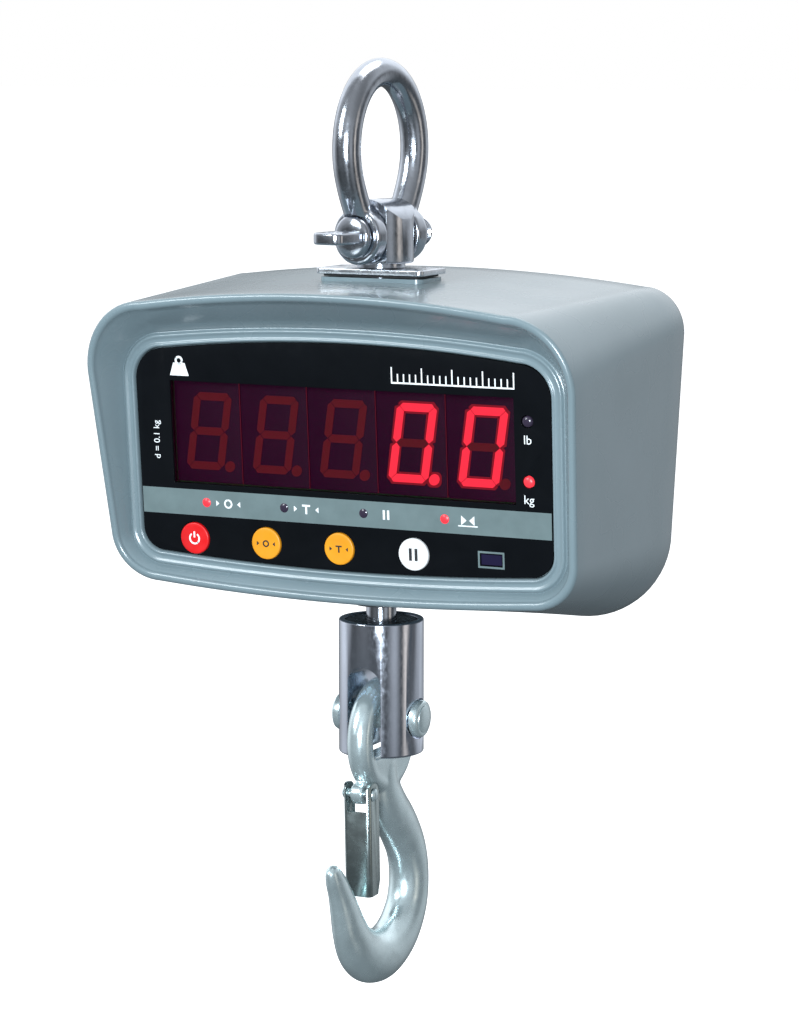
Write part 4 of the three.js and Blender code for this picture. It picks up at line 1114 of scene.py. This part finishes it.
def copy_softened(node, width, look, body, slot, sharp=35):
    """A CAD node's shape with its flat faces made whole and its edges rounded."""
    mesh = frame["nodes"][node].data.copy()
    bm = bmesh.new()
    bm.from_mesh(mesh)
    bmesh.ops.remove_doubles(bm, verts=bm.verts, dist=WELD)
    bmesh.ops.dissolve_limit(bm, angle_limit=math.radians(0.5), verts=bm.verts, edges=bm.edges)
    bm.to_mesh(mesh)
    bm.free()
    mesh.materials.clear()
    mesh.materials.append(LOOKS[look])
    obj = bpy.data.objects.new(node + "_finished", mesh)
    bpy.context.scene.collection.objects.link(obj)
    bevel(obj, width, 2, 40, sharp)
    flat = obj.modifiers.new("flat_faces", "WEIGHTED_NORMAL")
    flat.keep_sharp = True
    apply_modifiers(obj)
    return finish_piece(obj, body, slot, node)


def rear_parts():
    copy_softened("rear_cover", 0.4, "paint", "scale", "housing_paint")
    copy_softened("charging_socket", 0.25, "plastic", "scale", "dark_plastic")
    for i in range(1, 5):
        copy_softened(f"cover_screw_{i}", 0.15, "steel", "scale", "plain_steel")


def dress_nodes():
    """Procedural materials for the CAD nodes that stay."""
    looks = {
        "display_filter": "filter", "top_gasket": "rubber", "panel_gasket": "rubber",
        "rear_gasket": "rubber", "stem_seal": "rubber", "infrared_receiver": "eye",
        "display_board": "board", "main_board": "board", "main_board_frame": "plastic",
        "buzzer": "plastic", "battery_pack": "plastic", "battery_clamp": "steel",
        "load_cell": "aluminium", "upper_lock_nut": "steel", "lower_lock_nut": "steel",
        "swivel_bearing": "steel", "latch_spring": "steel",
    }
    looks.update({f"switch_{name}": "plastic" for name in KEYS})
    looks.update({f"board_spacer_{i}": "steel" for i in range(1, 5)})
    for node, look in looks.items():
        mesh = frame["nodes"][node].data
        mesh.materials.clear()
        mesh.materials.append(LOOKS[look])


# ---- Stage ----


def world():
    """Pale studio air. Polished metal also sees soft upright bands of light and shade round the room."""
    sky = bpy.data.worlds.new("studio")
    bpy.context.scene.world = sky
    sky.use_nodes = True
    # Glossy and diffuse rays see different rooms, so neither is sampled ahead
    sky.cycles.sampling_method = "NONE"
    tree = sky.node_tree
    tree.nodes.clear()
    new = tree.nodes.new
    link = tree.links.new
    coords = new("ShaderNodeTexCoord")
    split = new("ShaderNodeSeparateXYZ")
    link(coords.outputs["Generated"], split.inputs[0])
    angle = new("ShaderNodeMath")
    angle.operation = "ARCTAN2"
    link(split.outputs["Y"], angle.inputs[0])
    link(split.outputs["X"], angle.inputs[1])
    turn = new("ShaderNodeMapRange")
    turn.inputs["From Min"].default_value = -math.pi
    turn.inputs["From Max"].default_value = math.pi
    link(angle.outputs[0], turn.inputs["Value"])

    def ramp(stops):
        """Soft bands round the room: (turn, brightness, warmth)."""
        bands = new("ShaderNodeValToRGB")
        bands.color_ramp.interpolation = "EASE"
        elements = bands.color_ramp.elements
        while len(elements) < len(stops):
            elements.new(0.5)
        for element, (position, value, warmth) in zip(elements, stops):
            element.position = position
            element.color = (value * (0.96 + warmth * 0.3), value, value * (1.05 - warmth * 0.3), 1)
        link(turn.outputs["Result"], bands.inputs["Fac"])
        return bands.outputs["Color"]

    # (turn round the room, brightness, warmth); 0.324 is behind the camera
    stops = [(0.0, 1.05, 0), (0.045, 0.5, 0), (0.1, 0.1, 0), (0.19, 0.2, 0), (0.26, 0.1, 0), (0.29, 0.35, 0)]
    stops += [(0.307, 1.1, 0), (0.33, 0.3, 0), (0.352, 0.09, 0), (0.425, 0.55, 0), (0.48, 0.1, 0)]
    stops += [(0.515, 1.0, 0.5), (0.56, 0.12, -0.3), (0.6, 0.14, 0), (0.66, 0.6, 0), (0.7, 0.75, 0)]
    stops += [(0.75, 0.4, 0), (0.8, 0.07, 0), (0.86, 0.1, 0), (0.91, 0.6, 0)]
    stops += [(0.965, 1.0, 0), (1.0, 1.05, 0)]
    bands = ramp(stops)

    def by_height(low, high):
        part = new("ShaderNodeMapRange")
        part.inputs["From Min"].default_value = low
        part.inputs["From Max"].default_value = high
        link(split.outputs["Z"], part.inputs["Value"])
        return part.outputs["Result"]

    def blend(factor, first, second):
        mix = new("ShaderNodeMix")
        mix.data_type = "RGBA"
        link(factor, mix.inputs["Factor"])
        for socket, value in ((mix.inputs[6], first), (mix.inputs[7], second)):
            if isinstance(value, tuple):
                socket.default_value = (*value, 1)
            else:
                link(value, socket)
        return mix.outputs[2]

    def background(colour):
        shader = new("ShaderNodeBackground")
        if isinstance(colour, tuple):
            shader.inputs["Color"].default_value = (*colour, 1)
        else:
            link(colour, shader.inputs["Color"])
        return shader.outputs[0]

    def choose(factor, first, second):
        mix = new("ShaderNodeMixShader")
        link(factor, mix.inputs["Fac"])
        link(first, mix.inputs[1])
        link(second, mix.inputs[2])
        return mix.outputs[0]

    stops = [(0.0, 0.8, 0), (0.12, 0.4, 0), (0.3, 0.5, 0), (0.5, 0.3, 0), (0.62, 0.7, 0)]
    over = ramp(stops + [(0.7, 1.5, 0), (0.95, 1.5, 0)])
    ceiling = blend(by_height(0.04, 0.3), bands, over)
    room = blend(by_height(-0.6, -0.08), (0.1, 0.115, 0.125), ceiling)
    air = blend(by_height(-1, 1), (0.1, 0.12, 0.14), (0.55, 0.58, 0.61))
    rays = new("ShaderNodeLightPath")
    seen = choose(rays.outputs["Is Glossy Ray"], background(air), background(room))
    seen = choose(rays.outputs["Is Camera Ray"], seen, background((1.0, 1.0, 1.0)))
    output = new("ShaderNodeOutputWorld")
    link(seen, output.inputs["Surface"])


def area(name, place, target, size, energy, colour=(1, 1, 1)):
    lamp = bpy.data.lights.new(name, "AREA")
    lamp.size = size
    lamp.energy = energy
    lamp.color = colour
    obj = bpy.data.objects.new(name, lamp)
    bpy.context.scene.collection.objects.link(obj)
    obj.location = place
    obj.rotation_euler = (Vector(target) - Vector(place)).to_track_quat("-Z", "Y").to_euler()


def stage():
    world()
    centre = (0, 0, -0.15)
    area("key", (-0.9, -1.4, 0.7), centre, 0.7, 20, (0.92, 1.0, 1.04))
    area("top", (0.1, 0.3, 1.1), centre, 0.9, 7)
    area("front", (0.7, -1.9, 0.0), centre, 0.5, 46, (0.9, 1.0, 1.08))
    floor_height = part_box("hook")[0][2] - 0.09
    mesh = bpy.data.meshes.new("floor")
    reach = 30
    corners = [(-reach, -reach, 0), (reach, -reach, 0), (reach, reach, 0), (-reach, reach, 0)]
    mesh.from_pydata(corners, [], [(0, 1, 2, 3)])
    floor = bpy.data.objects.new("floor", mesh)
    floor.location.z = floor_height
    m = Nodes("floor_pale", Roughness=0.9, Specular_IOR_Level=0.0, Emission_Strength=0.8)
    m.shader.inputs["Emission Color"].default_value = (1, 1, 1, 1)
    m.colours(m.noise(3, 3), [(0.3, (0.88, 0.885, 0.89)), (0.7, (0.92, 0.92, 0.92))])
    mesh.materials.append(m.material)
    bpy.context.scene.collection.objects.link(floor)
    floor.visible_diffuse = False
    floor.visible_glossy = False


def camera():
    data = bpy.data.cameras.new("camera")
    data.lens = 115.7
    data.clip_start = 0.05
    obj = bpy.data.objects.new("camera", data)
    bpy.context.scene.collection.objects.link(obj)
    azimuth, down = math.radians(26.23), math.radians(8.04)
    level_part = math.cos(down)
    forward = Vector((-math.sin(azimuth) * level_part, math.cos(azimuth) * level_part, -math.sin(down)))
    right = Vector((math.cos(azimuth), math.sin(azimuth), 0))
    up = right.cross(forward)
    turn = Matrix((right, up, -forward)).transposed().to_4x4()
    obj.matrix_world = Matrix.Translation(to_frame((542.3, -1085.2, 147.1))) @ turn
    bpy.context.scene.camera = obj
    bpy.context.scene.view_settings.view_transform = "Standard"


camera()
stage()
housing()
panel()
prints()
display()
lamps()
keys()
shackle()
shackle_pin()
lug()
top_plate()
stem()
clevis()
hook()
latch()
rear_parts()
dress_nodes()
